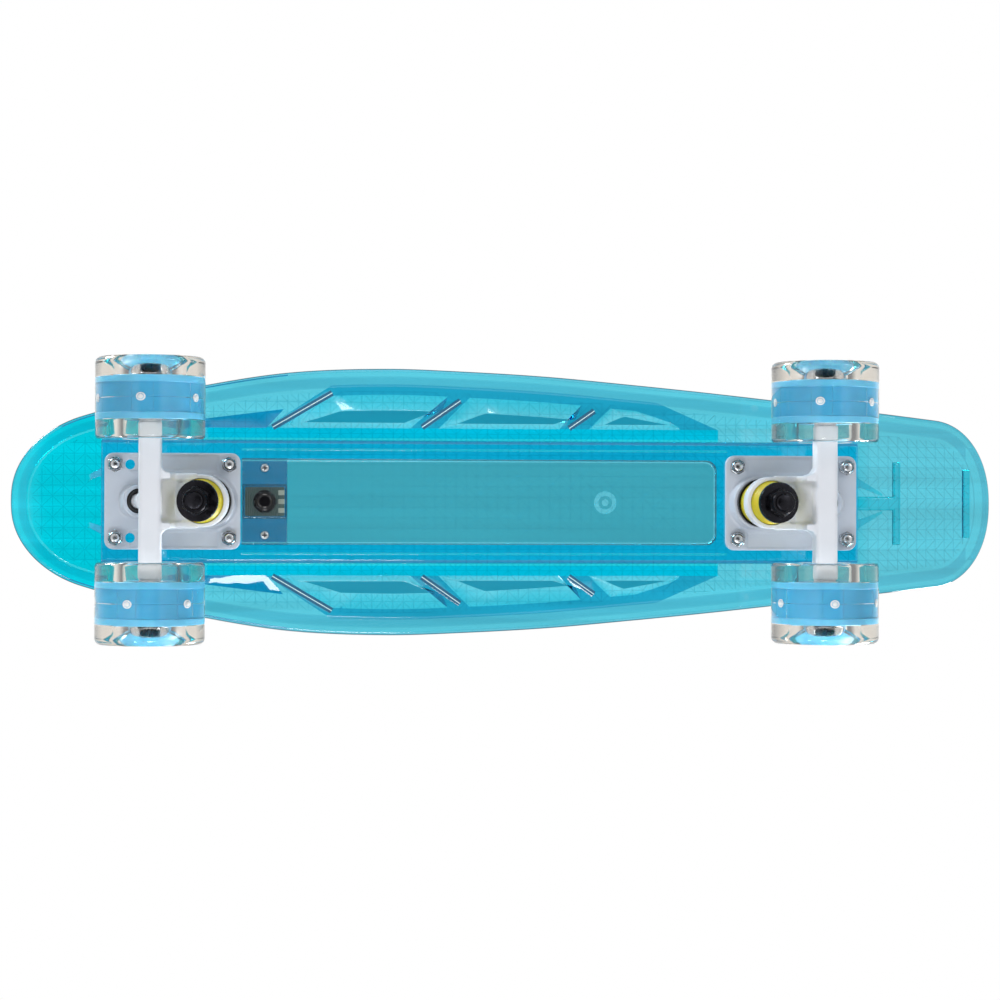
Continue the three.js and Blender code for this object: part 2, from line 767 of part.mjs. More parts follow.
// The pivot stem leans from its foot on the hanger to the ball in the pivot cup.
const ballCentre = new THREE.Vector3(pivotOutset, 0, mountHeight - pivotDrop);
const stemFoot = new THREE.Vector3(pivotStemFootOutset, 0, axleHeight + pivotStemFoot);
const stemLength = ballCentre.distanceTo(stemFoot);
const stemLean = Math.atan2(ballCentre.x - stemFoot.x, ballCentre.z - stemFoot.z);
const pivotPlace = new THREE.Matrix4().makeRotationY(stemLean).setPosition(ballCentre);
const cupBore = pivotBallRadius + looseFit;
const cupRadius = cupBore + pivotCupWall;
const cupTop = cupBore + pivotCupWall;

function onPivot(geometry) {
  return geometry.applyMatrix4(pivotPlace);
}

// A solid of revolution about +Z whose [radius, z] points start and end on the axis.
function spun(points, sides = turnedSides) {
  const geometry = new THREE.LatheGeometry(points.map(([radius, z]) => new THREE.Vector2(radius, z)), sides);
  geometry.rotateX(Math.PI / 2);
  return facingOut(geometry);
}

function basePlate() {
  const under = mountHeight - plateThickness;
  const plate = extruded(roundedRectangle(plateLength, plateWidth, plateCornerRadius), under, mountHeight);
  const bossTop = kingpinBossDrop / Math.cos(lean) + overrun;
  const kingpinBoss = onStack(post(kingpinBossRadius, 0, bossTop));
  const pivotBoss = onPivot(post(cupRadius + looseFit + pivotBossWall, -pivotCupMouth, cupTop));
  const webStart = seatX + kingpinBossRadius;
  const web = block([webStart - plateWebDrop, pivotOutset], centred(plateWebWidth),
    [under - plateWebDrop, mountHeight - plateThickness / 2]);
  const above = block(centred(plateLength * 2), centred(plateWidth * 2),
    [mountHeight, mountHeight + kingpinBossDrop * 2]);
  const headPocket = onStack(post(headCornerRadius + looseFit, kingpinBossFloor, bossTop + overrun));
  const kingpinHole = onStack(post(kingpinBore, -overrun, bossTop));
  const belowSeat = onStack(post(kingpinBossRadius + plateWebDrop, -plateWebDrop, 0));
  const cupPocket = onPivot(post(cupRadius + looseFit, -pivotCupMouth - overrun, cupTop + looseFit));
  const spareX = spareHolePitch - boltPatternLength / 2;
  const spares = [1, -1].map((side) => [spareX, side * boltPatternWidth / 2]);
  const holes = [...boltPlaces(), ...spares].map(([x, y]) => post(boltDiameter / 2 + boltHoleClearance,
    under - overrun, mountHeight + overrun, smallSides).translate(x, y, 0));
  return shaped([plate, kingpinBoss, pivotBoss, web],
    [above, headPocket, kingpinHole, belowSeat, cupPocket, ...holes]);
}

function pivotCup() {
  const mouth = -pivotCupMouth;
  const floorRadius = cupBore / 2;
  return onPivot(spun([[0, cupTop], [cupRadius, cupTop], [cupRadius, mouth], [cupBore, mouth],
    [cupBore, floorRadius], [floorRadius, cupBore], [0, cupBore]]));
}

function kingpin() {
  const under = kingpinBossFloor + faceGap;
  const head = hexPost(kingpinHeadAcrossFlats, under, under + kingpinHeadHeight);
  return onStack(shaped([head, post(kingpinRadius, kingpinEnd, under + kingpinHeadHeight / 2)]));
}

function hexNut(acrossFlats, height, bore) {
  return shaped([hexPost(acrossFlats, 0, height)], [post(bore, -overrun, height + overrun)]);
}

// A washer with a turned lip that holds the end of a bushing; the lip points along direction.
function cupWasher(lipRadius, base, direction) {
  const floor = base + direction * cupWasherThickness;
  const lip = floor + direction * cupWasherLip;
  const outer = lipRadius + cupWasherWall;
  return onStack(turned([[kingpinBore, base], [outer, base], [outer, lip], [lipRadius, lip],
    [lipRadius, floor], [kingpinBore, floor]]));
}

function lowerWasher() {
  const slope = (bushingRadius - lowerBushingTipRadius) / lowerBushingHeight;
  return cupWasher(lowerBushingTipRadius + slope * cupWasherLip + looseFit, lowerWasherUnder, 1);
}

function lowerBushing() {
  const straight = lowerBushingTop - yokeRingRecess - looseFit;
  return onStack(turned([[kingpinBore, lowerBushingUnder], [lowerBushingTipRadius, lowerBushingUnder],
    [bushingRadius, straight], [bushingRadius, lowerBushingTop], [kingpinBore, lowerBushingTop]]));
}

// A countersunk bolt with its lock nut run up under the base plate.
function truckBolt([x, y]) {
  const top = deckTop - faceGap;
  const nutTop = mountHeight - plateThickness - faceGap;
  const end = nutTop - boltNutHeight - boltProud;
  const shaft = boltDiameter / 2;
  const bolt = spun([
    [0, top], [boltHeadRadius, top], [shaft, top - boltHeadDepth], [shaft, end], [0, end],
  ], smallSides);
  return shaped([bolt, hexPost(boltNutAcrossFlats, nutTop - boltNutHeight, nutTop)]).translate(x, y, 0);
}

// Turns a piece made about +Z to lie along +Y, and lifts it to the axle.
function onAxle(geometry) {
  return geometry.rotateX(-Math.PI / 2).translate(axleOutset, 0, axleHeight);
}

// The yoke is its side view, drawn through the whole width, trimmed to its plan.
function yoke() {
  const centre = stackPoint((ringTop + ringUnder) / 2);
  const armStart = centre.x + ringRadius;
  const farEnd = centre.x - ringRadius - overrun;
  const along = (level, x) => stackPoint(level).z + (x - stackPoint(level).x) * Math.tan(lean);
  const barInner = axleOutset - barWidth / 2;
  const barOuter = axleOutset + barWidth / 2;
  const barUnder = axleHeight - barHeight / 2 + barCornerRadius;
  const side = extruded(polygon([
    [farEnd, along(ringUnder, farEnd)],
    [armStart, along(ringUnder, armStart)],
    [barInner, axleHeight + barCornerRadius],
    [barInner, barUnder],
    [barOuter, barUnder],
    [barOuter, stemFoot.z],
    [stemFoot.x - pivotStemRadius / 2, along(ringUnder, armStart) + yokeArmThickness / 2],
    [armStart, along(ringTop, armStart)],
    [farEnd, along(ringTop, farEnd)],
  ]), -yokeShoulder, yokeShoulder);
  side.rotateX(Math.PI / 2);
  const plan = new THREE.Shape();
  plan.moveTo(barOuter, -yokeShoulder);
  plan.lineTo(barOuter, yokeShoulder);
  plan.lineTo(barInner, yokeShoulder);
  plan.absarc(centre.x, 0, ringRadius, Math.PI / 2 - lean, Math.PI * 1.5 + lean);
  plan.lineTo(barInner, -yokeShoulder);
  return common(side, extruded(plan, 0, mountHeight, turnedSides));
}

function pivotStem() {
  const neck = -pivotCupMouth - looseFit;
  const waist = -Math.sqrt(pivotBallRadius ** 2 - pivotNeckRadius ** 2);
  const crown = pivotBallRadius * Math.SQRT1_2;
  return onPivot(spun([
    [0, -stemLength], [pivotStemRadius, -stemLength], [pivotNeckRadius + faceGap, neck - looseFit],
    [pivotNeckRadius, waist], [pivotBallRadius, 0], [crown, crown], [0, pivotBallRadius],
  ]));
}

function hanger() {
  const bar = onAxle(extruded(roundedRectangle(barWidth, barHeight, barCornerRadius),
    -hangerHalfLength, hangerHalfLength));
  const seat = bushingRadius + looseFit;
  const collarEnd = hangerHalfLength + collarLength;
  const collars = onAxle(post(collarRadius, -collarEnd, collarEnd));
  return shaped([yoke(), bar, collars, pivotStem()], [
    onStack(post(kingpinRadius + yokeHoleClearance, ringUnder - overrun, ringTop + overrun)),
    onStack(post(seat, ringUpperFloor, ringTop + overrun)),
    onStack(post(seat, ringUnder - overrun, ringLowerFloor)),
    onAxle(post(axleBoreRadius, -coreInnerFace, coreInnerFace, smallSides)),
  ]);
}

// The magnet sleeve spaces the inner rings of a wheel's two bearings.
function magnetSleeve(side) {
  const half = coreWidth / 2 - bearingWidth - faceGap;
  return onAxle(ringBetween(axleBoreRadius, magnetSleeveRadius, -half, half, smallSides)
    .translate(0, 0, side * wheelTrack / 2));
}

function axleNut(side) {
  const height = collarLength + axleNutHeight;
  const hexagon = hexPost(axleNutAcrossFlats, collarLength, height);
  const nut = shaped([hexagon, post(collarRadius, 0, collarLength * 2)],
    [post(axleBoreRadius, -overrun, height + overrun, smallSides)]);
  if (side < 0) nut.rotateX(Math.PI);
  return onAxle(nut.translate(0, 0, side * axleNutInner));
}

// Wheel frame: +Z is the axle's direction out of the board, z = 0 the middle of the wheel
function tyre() {
  const face = wheelWidth / 2;
  const lipStart = face - wheelLipWidth;
  const lipShares = [[0, 0], [0.35, 0.7], [1, 1]];
  const lip = lipShares.map(([down, out]) => (
    [wheelRadius - down * wheelLipHeight, lipStart + out * wheelLipWidth]
  ));
  const bore = coreRadius + looseFit;
  const coreFace = coreWidth / 2 + looseFit;
  const dishMouth = wheelRadius - wheelLipHeight - wheelFaceWall;
  return turned([
    [bore, -coreFace], [bore, coreFace], [wheelDishFloorRadius, coreFace], [dishMouth, face],
    ...lip.toReversed(),
    ...lip.map(([radius, z]) => [radius, -z]),
    [wheelRecessRadius, -face], [wheelRecessRadius, -coreFace],
  ], wheelSides);
}

// The moulded core: a band between two flanges, with light chips round the band.
function wheelCore() {
  const face = coreWidth / 2;
  const seat = bearingOuterRadius + looseFit;
  const shoulder = face - bearingWidth - faceGap;
  const band = coreRadius - ledChipProud;
  const bandEdge = face - coreFlangeWidth;
  const body = turned([
    [seat, -face], [coreRadius, -face], [coreRadius, -bandEdge], [band, -bandEdge],
    [band, bandEdge], [coreRadius, bandEdge], [coreRadius, face], [seat, face], [seat, shoulder],
    [seat - coreShoulderDepth, shoulder], [seat - coreShoulderDepth, -shoulder], [seat, -shoulder],
  ], wheelSides);
  const chips = Array.from({ length: ledCount }, (_, i) => block(
    [band - ledChipProud, coreRadius], centred(ledChipWidth), centred(ledChipWidth),
  ).rotateZ(Math.PI * 2 * i / ledCount));
  return shaped([body, ...chips]);
}

// A shielded ball bearing as one ring.
function bearing(place) {
  const half = bearingWidth / 2;
  return ringBetween(axleBoreRadius, bearingOuterRadius, -half, half)
    .translate(0, 0, place * (coreWidth / 2 - half));
}

function addWheel(truck, name, side) {
  const wheel = new THREE.Group();
  wheel.position.set(axleOutset, side * wheelTrack / 2, axleHeight);
  wheel.rotation.x = -side * Math.PI / 2;
  truck.add(wheel);
  addMesh(wheel, `${name}_tyre`, tyre(), materials.clearTyre);
  addMesh(wheel, `${name}_core`, wheelCore(), materials.blueCore);
  addMesh(wheel, `${name}_outer_bearing`, bearing(1), materials.brightSteel);
  addMesh(wheel, `${name}_inner_bearing`, bearing(-1), materials.brightSteel);
}

function addTruck(end, x, facing) {
  const truck = new THREE.Group();
  truck.position.x = x;
  truck.rotation.z = facing > 0 ? 0 : Math.PI;
  root.add(truck);
  const add = (name, geometry, material) => addMesh(truck, `${end}_${name}`, geometry, material);
  add('base_plate', basePlate(), materials.whitePaint);
  add('pivot_cup', pivotCup(), materials.blackPlastic);
  add('kingpin', kingpin(), materials.blackSteel);
  add('upper_washer', cupWasher(bushingRadius + looseFit, upperWasherTop, -1), materials.blackSteel);
  add('upper_bushing', onStack(ringBetween(kingpinBore, bushingRadius, upperBushingUnder, upperBushingTop)),
    materials.yellowRubber);
  add('lower_bushing', lowerBushing(), materials.yellowRubber);
  add('lower_washer', lowerWasher(), materials.blackSteel);
  add('kingpin_nut', onStack(hexNut(kingpinNutAcrossFlats, kingpinNutHeight, kingpinBore)
    .translate(0, 0, kingpinNutUnder)), materials.blackSteel);
  boltPlaces().forEach((place, i) => add(`bolt_${i + 1}`, truckBolt(place), materials.zincSteel));
  add('hanger', hanger(), materials.whitePaint);
  add('axle', onAxle(post(axleRadius, -axleHalfLength, axleHalfLength, smallSides)), materials.zincSteel);
  for (const side of [1, -1]) {
    const hand = side * facing > 0 ? 'left' : 'right';
    add(`${hand}_magnet_sleeve`, magnetSleeve(side), materials.darkMagnet);
    add(`${hand}_axle_nut`, axleNut(side), materials.blackSteel);
    addWheel(truck, `${end}_${hand}`, side);
  }
}

addTruck('front', frontTruckX, 1);
addTruck('rear', rearTruckX, -1);

export default root;
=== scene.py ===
from math import atan2, cos, hypot, pi, radians, sin, sqrt, tan

import bmesh
import bpy
from mathutils import Matrix, Vector


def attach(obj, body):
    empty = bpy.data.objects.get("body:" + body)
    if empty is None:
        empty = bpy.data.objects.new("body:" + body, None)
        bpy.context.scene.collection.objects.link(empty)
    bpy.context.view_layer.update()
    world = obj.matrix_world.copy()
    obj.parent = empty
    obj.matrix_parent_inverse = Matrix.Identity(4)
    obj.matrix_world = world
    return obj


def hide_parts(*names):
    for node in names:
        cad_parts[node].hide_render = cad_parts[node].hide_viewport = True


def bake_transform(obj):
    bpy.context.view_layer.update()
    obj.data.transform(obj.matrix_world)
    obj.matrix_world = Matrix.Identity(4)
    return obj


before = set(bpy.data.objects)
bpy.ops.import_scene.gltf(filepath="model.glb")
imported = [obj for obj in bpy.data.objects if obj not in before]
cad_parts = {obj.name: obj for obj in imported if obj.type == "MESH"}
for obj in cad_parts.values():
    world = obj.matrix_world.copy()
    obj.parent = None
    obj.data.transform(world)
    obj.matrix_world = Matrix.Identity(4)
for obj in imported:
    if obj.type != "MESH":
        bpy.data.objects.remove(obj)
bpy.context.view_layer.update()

# A clear cruiser skateboard seen from below. Shapes are drawn in millimetres, with the nose towards +X and
# the floor at z = 0, and are brought to metres when a piece is finished.
mm = 0.001
scene = bpy.context.scene


# Camera and light

camera = {
    "place": (152.14, -9.76, -1447.5),
    "turn": (0.4008, 174.6001, -0.1502),  # degrees about X, Y and Z: almost straight up
    "lens": 96.486,
    "sensor": 36.0,
}

studio = {
    # the room from straight down to straight up: heights of the direction, and greys
    "sky": ((-1.0, "#0C0E10"), (-0.96, "#14171A"), (-0.9, "#F4F4F4"), (-0.3, "#D8D6D2"), (-0.02, "#98969A"),
            (0.3, "#8E9094"), (0.5, "#C8CACC"), (0.7, "#FFFFFF")),
    "skyStrength": 1.0,
    "floorColour": "#E9E9E7",
    "floorSize": 6000.0,
    "floorDrop": 0.2,  # keeps the floor clear of the wheels
}

lamps = [
    # name, place, aim, size, watts
    ("keyBelow", (900, -700, -1100), (0, 0, 60), 300, 2.5),
    ("fillBelow", (-1000, 600, -1000), (0, 0, 60), 400, 1.5),
    ("stripBelow", (120, -560, -1000), (60, 0, 60), 300, 3),
    ("keyAbove", (-1900, -2100, 1500), (0, 0, 60), 1000, 90),
    ("rimAbove", (2000, 1900, 1300), (0, 0, 60), 900, 50),
]


def linear(hexColour):
    channels = [int(hexColour[i:i + 2], 16) / 255 for i in (1, 3, 5)]
    return (*[c / 12.92 if c <= 0.04045 else ((c + 0.055) / 1.055) ** 2.4 for c in channels], 1.0)


def scaleFor(size):
    # grains per metre, the texture scale of a pattern whose grains are this many millimetres across
    return round(1 / (size * mm))


def addNode(tree, kind, inputs=None, **settings):
    # sockets go by name or number; a Mix node takes numbers at 2 and 3, and colours at 6 and 7
    node = tree.nodes.new(kind)
    for key, value in settings.items():
        setattr(node, key, value)
    for socket, value in (inputs or {}).items():
        if isinstance(value, bpy.types.NodeSocket):
            tree.links.new(value, node.inputs[socket])
        else:
            node.inputs[socket].default_value = value
    return node


def newTree(name):
    material = bpy.data.materials.new(name)
    material.use_nodes = True
    material.node_tree.nodes.clear()
    return material, material.node_tree


def setCamera():
    data = bpy.data.cameras.new("camera")
    data.sensor_width = camera["sensor"]
    data.lens = camera["lens"]
    data.clip_end = 50
    rig = bpy.data.objects.new("camera", data)
    rig.location = [v * mm for v in camera["place"]]
    rig.rotation_euler = [radians(v) for v in camera["turn"]]
    scene.collection.objects.link(rig)
    scene.camera = rig


def setWorld():
    world = bpy.data.worlds.new("studio")
    world.use_nodes = True
    tree = world.node_tree
    tree.nodes.clear()
    # white overhead and grey at eye level; below, a bright ring round a dark middle, so that the flat
    # underside doesn't veil what lies behind it
    place = addNode(tree, "ShaderNodeTexCoord")
    split = addNode(tree, "ShaderNodeSeparateXYZ", {"Vector": place.outputs["Generated"]})
    height = addNode(tree, "ShaderNodeMapRange", {
        "Value": split.outputs["Z"], "From Min": -1.0, "From Max": 1.0})
    room = addNode(tree, "ShaderNodeValToRGB", {"Fac": height.outputs[0]})
    ramp = room.color_ramp
    while len(ramp.elements) < len(studio["sky"]):
        ramp.elements.new(1.0)
    for stop, (level, colour) in zip(ramp.elements, studio["sky"]):
        stop.position, stop.color = (level + 1) / 2, linear(colour)
    sky = addNode(tree, "ShaderNodeBackground", {
        "Color": room.outputs[0], "Strength": studio["skyStrength"]})
    addNode(tree, "ShaderNodeOutputWorld", {"Surface": sky.outputs[0]})
    scene.world = world


def setFloor():
    # seen from above it is a pale floor; from below it lets the view and the light through
    material, tree = newTree("paleFloor")
    paint = addNode(tree, "ShaderNodeBsdfPrincipled", {
        "Base Color": linear(studio["floorColour"]), "Roughness": 0.7})
    clear = addNode(tree, "ShaderNodeBsdfTransparent")
    side = addNode(tree, "ShaderNodeNewGeometry")
    mix = addNode(tree, "ShaderNodeMixShader", {
        0: side.outputs["Backfacing"], 1: paint.outputs[0], 2: clear.outputs[0]})
    addNode(tree, "ShaderNodeOutputMaterial", {"Surface": mix.outputs[0]})
    bm = bmesh.new()
    bmesh.ops.create_grid(bm, x_segments=1, y_segments=1, size=studio["floorSize"] / 2 * mm)
    mesh = bpy.data.meshes.new("floor")
    bm.to_mesh(mesh)
    bm.free()
    mesh.materials.append(material)
    floor = bpy.data.objects.new("floor", mesh)
    floor.location.z = -studio["floorDrop"] * mm
    # it casts no shadow upwards, so the lamps under it light the underside
    floor.visible_shadow = floor.visible_diffuse = floor.visible_glossy = False
    scene.collection.objects.link(floor)


def setLamps():
    for name, place, aim, size, watts in lamps:
        data = bpy.data.lights.new(name, "AREA")
        data.shape = "DISK"
        data.size = size * mm
        data.energy = watts
        lamp = bpy.data.objects.new(name, data)
        lamp.location = Vector(place) * mm
        lamp.rotation_euler = (Vector(aim) - Vector(place)).to_track_quat("-Z", "Y").to_euler()
        scene.collection.objects.link(lamp)


setCamera()
setWorld()
setFloor()
setLamps()
scene.view_settings.view_transform = "Standard"
# light crosses many faces of clear plastic
scene.cycles.max_bounces = 24
scene.cycles.transmission_bounces = 20
scene.cycles.transparent_max_bounces = 16
print("camera, floor and light are set")


# Shapes

def scratch(bm):
    bmesh.ops.recalc_face_normals(bm, faces=bm.faces)
    mesh = bpy.data.meshes.new("shape")
    bm.to_mesh(mesh)
    bm.free()
    shape = bpy.data.objects.new("shape", mesh)
    scene.collection.objects.link(shape)
    return shape


def combined(base, shapes, operation):
    for shape in shapes:
        step = base.modifiers.new("join", "BOOLEAN")
        step.operation = operation
        step.solver = "MANIFOLD"
        step.object = shape
    result = base.evaluated_get(bpy.context.evaluated_depsgraph_get())
    mesh = bpy.data.meshes.new_from_object(result)
    base.modifiers.clear()
    base.data = mesh
    for shape in shapes:
        bpy.data.objects.remove(shape)
    return base


def joined(shapes):
    return combined(shapes[0], shapes[1:], "UNION")


def moved(shape, matrix):
    shape.data.transform(matrix)
    return shape


def takenMesh(shape):
    mesh = shape.data.copy()
    bpy.data.objects.remove(shape)
    return mesh


def meshOf(bm):
    mesh = bpy.data.meshes.new("piece")
    bm.to_mesh(mesh)
    bm.free()
    return mesh


def bar(x, y, z):
    bm = bmesh.new()
    size = Matrix.Diagonal((x[1] - x[0], y[1] - y[0], z[1] - z[0], 1))
    middle = Matrix.Translation(((x[0] + x[1]) / 2, (y[0] + y[1]) / 2, (z[0] + z[1]) / 2))
    bmesh.ops.create_cube(bm, size=1, matrix=middle @ size)
    return bm


def post(radius, bottom, top, segments=32, tipRadius=None, place=(0, 0)):
    bm = bmesh.new()
    bmesh.ops.create_cone(bm, cap_ends=True, segments=segments, radius1=radius,
                          radius2=radius if tipRadius is None else tipRadius, depth=top - bottom,
                          matrix=Matrix.Translation((*place, (bottom + top) / 2)))
    return bm


def turned(profile, steps=64):
    # spins [radius, z] points about the z axis; they close on themselves or start and end on the axis
    bm = bmesh.new()
    verts = [bm.verts.new((radius, 0, z)) for radius, z in profile]
    pairs = list(zip(verts, verts[1:]))
    if profile[0][0] > 0:
        pairs.append((verts[-1], verts[0]))
    edges = [bm.edges.new(pair) for pair in pairs]
    bmesh.ops.spin(bm, geom=verts + edges, cent=(0, 0, 0), axis=(0, 0, 1), angle=2 * pi, steps=steps,
                   use_merge=True)
    bmesh.ops.remove_doubles(bm, verts=bm.verts, dist=0.0001)
    bmesh.ops.recalc_face_normals(bm, faces=bm.faces)
    return bm


def arcPoints(centre, radius, start, end, steps=6):
    turns = [radians(start + (end - start) * i / steps) for i in range(steps + 1)]
    return [(centre[0] + radius * cos(t), centre[1] + radius * sin(t)) for t in turns]


def threaded(radius, start, end, pitch, tip=0.6):
    # the profile of a thread's rings on a shaft about z, with a chamfered tip at the start
    profile, z = [(0, start), (radius - tip, start)], start + tip
    while z + pitch < end:
        profile += [(radius, z), (radius - pitch * 0.5, z + pitch / 2)]
        z += pitch
    return profile + [(radius, z)]


def flipped(profile):
    # the same profile the other way up
    return [(radius, -z) for radius, z in reversed(profile)]


def roundEdges(bm, edges, width, segments=3):
    bmesh.ops.bevel(bm, geom=edges, offset=width, offset_type="OFFSET", affect="EDGES", segments=segments,
                    profile=0.5, material=-1, clamp_overlap=True)
    return bm


def sharpEdges(bm, angle=40):
    return [e for e in bm.edges if e.is_manifold and e.calc_face_angle(0) > radians(angle)]


def levelEdges(bm, z):
    return [e for e in bm.edges if all(abs(v.co.z - z) < 0.01 for v in e.verts)]


def span(edge, axis):
    # how far an edge runs along x, y or z, for the numbers 0, 1 and 2
    return abs(edge.verts[0].co[axis] - edge.verts[1].co[axis])


def vertsOf(geometry):
    return [g for g in geometry if isinstance(g, bmesh.types.BMVert)]


def outlinePrism(points, bottom, top):
    # a prism over a closed outline; the outline is a circle whose vertices are moved to the points
    bm = bmesh.new()
    ring = bmesh.ops.create_circle(bm, cap_ends=True, segments=len(points), radius=1)["verts"]
    for vert, (x, y) in zip(ring, points):
        vert.co = (x, y, bottom)
    lifted = bmesh.ops.extrude_face_region(bm, geom=bm.faces[:])["geom"]
    bmesh.ops.translate(bm, vec=(0, 0, top - bottom), verts=vertsOf(lifted))
    bmesh.ops.recalc_face_normals(bm, faces=bm.faces)
    return bm


def sidePrism(points, half, middle=0.0):
    # a side view in x and z, drawn through the width
    bm = outlinePrism([(x, -z) for x, z in points], middle - half, middle + half)
    bmesh.ops.transform(bm, matrix=Matrix.Rotation(-pi / 2, 4, "X"), verts=bm.verts)
    return scratch(bm)


def hexBlock(acrossFlats, bottom, top, bevel=0.9):
    # a hexagon whose corners are turned away at both ends
    corner = acrossFlats / 2 / cos(pi / 6)
    flat, slope = corner - bevel, corner * 0.6
    if top - bottom < 2 * (bevel + slope):
        profile = [(flat, bottom), (flat + (top - bottom) / 2, (bottom + top) / 2), (flat, top)]
    else:
        profile = [(flat, bottom), (corner + slope, bottom + bevel + slope),
                   (corner + slope, top - bevel - slope), (flat, top)]
    dome = turned([(0, bottom)] + profile + [(0, top)], 48)
    return combined(scratch(post(corner, bottom, top, 6)), [scratch(dome)], "INTERSECT")


def crossRecess(long, narrow, bottom, top):
    # two bars that cut a cross into a screw's head
    return [scratch(bar(x, y, (bottom, top))) for x, y in
            (((-long, long), (-narrow, narrow)), ((-narrow, narrow), (-long, long)))]


def cast(shape, smoothing, voxel=0.7, kept=0.4):
    # melts joined shapes into one skin with soft inner corners, as a casting has
    melt = shape.modifiers.new("melt", "REMESH")
    melt.mode, melt.voxel_size = "VOXEL", voxel
    soften = shape.modifiers.new("soften", "SMOOTH")
    soften.factor, soften.iterations = 0.5, smoothing
    thin = shape.modifiers.new("thin", "DECIMATE")
    thin.ratio = kept
    return combined(shape, [], "UNION")


def pieceName(words):
    first, *rest = words.split("_")
    return first + "".join(word.title() for word in rest)


def finishPiece(name, mesh, matrix, body, nodes, material):
    # the body is a name; given as two names and two points instead, the piece is left unattached, its place
    # baked into its mesh
    mesh.transform(Matrix.Scale(mm, 4) @ matrix)
    mesh.materials.clear()
    mesh.materials.append(material)
    mesh.shade_smooth()
    mesh.set_sharp_from_angle(angle=radians(48))
    piece = bpy.data.objects.new(pieceName(name), mesh)
    scene.collection.objects.link(piece)
    normals = piece.modifiers.new("evenShading", "WEIGHTED_NORMAL")
    normals.keep_sharp = True
    if isinstance(body, tuple):
        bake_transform(piece)
    else:
        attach(piece, body)
    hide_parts(*nodes)
    return piece


def worn(name, colours, metallic, rough, grainSize, more=None):
    # a surface whose tone and gloss vary a little from place to place
    material, tree = newTree(name)
    place = addNode(tree, "ShaderNodeTexCoord")
    grain = addNode(tree, "ShaderNodeTexNoise", {
        "Vector": place.outputs["Object"], "Scale": scaleFor(grainSize), "Detail": 4.0})
    gloss = addNode(tree, "ShaderNodeMapRange", {
        "Value": grain.outputs["Fac"], "From Min": 0.3, "From Max": 0.7,
        "To Min": rough[0], "To Max": rough[1]})
    tone = addNode(tree, "ShaderNodeMix", {
        "Factor": grain.outputs["Fac"], 6: linear(colours[0]), 7: linear(colours[1])}, data_type="RGBA")
    shader = addNode(tree, "ShaderNodeBsdfPrincipled", {
        "Base Color": tone.outputs[2], "Metallic": metallic, "Roughness": gloss.outputs[0], **(more or {})})
    addNode(tree, "ShaderNodeOutputMaterial", {"Surface": shader.outputs[0]})
    return material


# Deck

deck = {
    "length": 569.5, "width": 152.0, "top": 83.0,
    "skin": 4.2, "hull": 6.2, "spine": 9.5,  # how far under the top each of them reaches
    "edgeRound": 1.9, "flange": 9.0, "hullRound": 1.7,
    "noseCap": (42.0, 2.4), "tailCap": (36.0, 2.2),  # length of the rounded end, and its power
    "kick": (90.0, 130.0, 18.0),  # length, radius of the bend, degrees
    "noseRise": (4.0, 45.0),  # height and length of the lift
    # the side line: places from the nose as shares of the length, and half widths as shares of the half width
    "placeShares": (0, 0.076, 0.135, 0.194, 0.274, 0.373, 0.454, 0.534, 0.615, 0.697, 0.804, 0.878, 1),
    "widthShares": (0.474, 0.646, 0.776, 0.872, 0.966, 1, 0.982, 0.949, 0.896, 0.837, 0.75, 0.688, 0.597),
    "outlineSteps": 360,
    "plateauEnd": 199.75, "rimNose": 7.5, "rimTail": -118.0, "rimTailOuter": -82.0,  # where the hull ends
    "shoulder": ((200.75, 43.8), (131.3, 52.6)),  # where the slope beside the front wheels starts and ends
    "spineEnds": (-199.25, 233.65), "spineHalf": 35.0, "spineRound": 2.5, "spineEndRound": 0.8,
    "bead": (29.5, 1.5, 0.6, 0.5), "beadStart": 6.0,  # distance from the middle, width, height, rounding
    "panel": (-116.55, 155.05), "panelHalf": 25.0, "panelDraft": 1.3, "panelCorner": 6.0,
    "panelFillet": 0.8,
    "gateMark": (-52.8, 0.0, 6.5, 0.4),  # place, radius, depth
    "noseWedge": (233.65, 17.0, 17.0, 9.0), "tailWedge": (-199.25, -18.0, 13.0, 4.0),
    "wedgeWidth": (5.0, 1.0), "wedgeDepth": (4.3, 0.5), "wedgeRound": 0.7,
    "tailRib": 8.0, "tailBands": ((-223.8, 48.0), (-269.0, 40.0)),
    "bandLength": 5.0, "bandDepth": 1.3, "bandRound": 1.55,
    "boltHole": 2.8, "boltSink": 4.9, "sinkDepth": 2.9,
    "screwHole": (1.4, 2.5),  # radius and depth of the light's screw holes
    "gripBorder": 12.5, "gripLines": (4.2, 9.8), "gripLine": (0.7, 0.25),
    "gripCell": 6.0, "gripInset": 0.7, "gripLift": 0.2, "gripDepth": 0.14,
    # cuts across the deck, each with a start, a step and a count: for the kick, the nose and the tints
    "kickCuts": (0, -3, 15), "noseCuts": (0, 4, 11), "tintCuts": (-190, 12, 35),
}

# a tint for each stretch, on top of the depth of the plastic: the dark edge, the crests' flanks and the
# spine's edge strips are painted shade, and the deep cyan of the nose and its flange is painted light carried
# along inside the plastic
deckTintsAndPaintedLight = {
    "top": "#FFFFFF", "groove": "#E0F0F4", "gripBorder": "#DDEAF0", "edge": "#2F7A90", "skin": "#FFEFF8",
    "panel": "#9AC1CB", "panelWall": "#FFE4EC", "seat": "#089CC6",
    "podFloor": "#24B0C6", "podWall": "#FFF4FC", "crest": "#1C7E9C",
    "spine": "#A8E6FA", "spineEdgePaintedShade": "#59BCDA", "bead": "#E8FFFF", "bandLine": "#C0FFFF", "band": "#1CEEFF",
    "rim": "#A6CFE5", "shoulder": "#3AAED6", "nose": "#14FFFF", "noseFlangePaintedLight": "#2CF4FC",
    "tail": "#DCE6EF", "tailBand": "#4CDEE8",
}

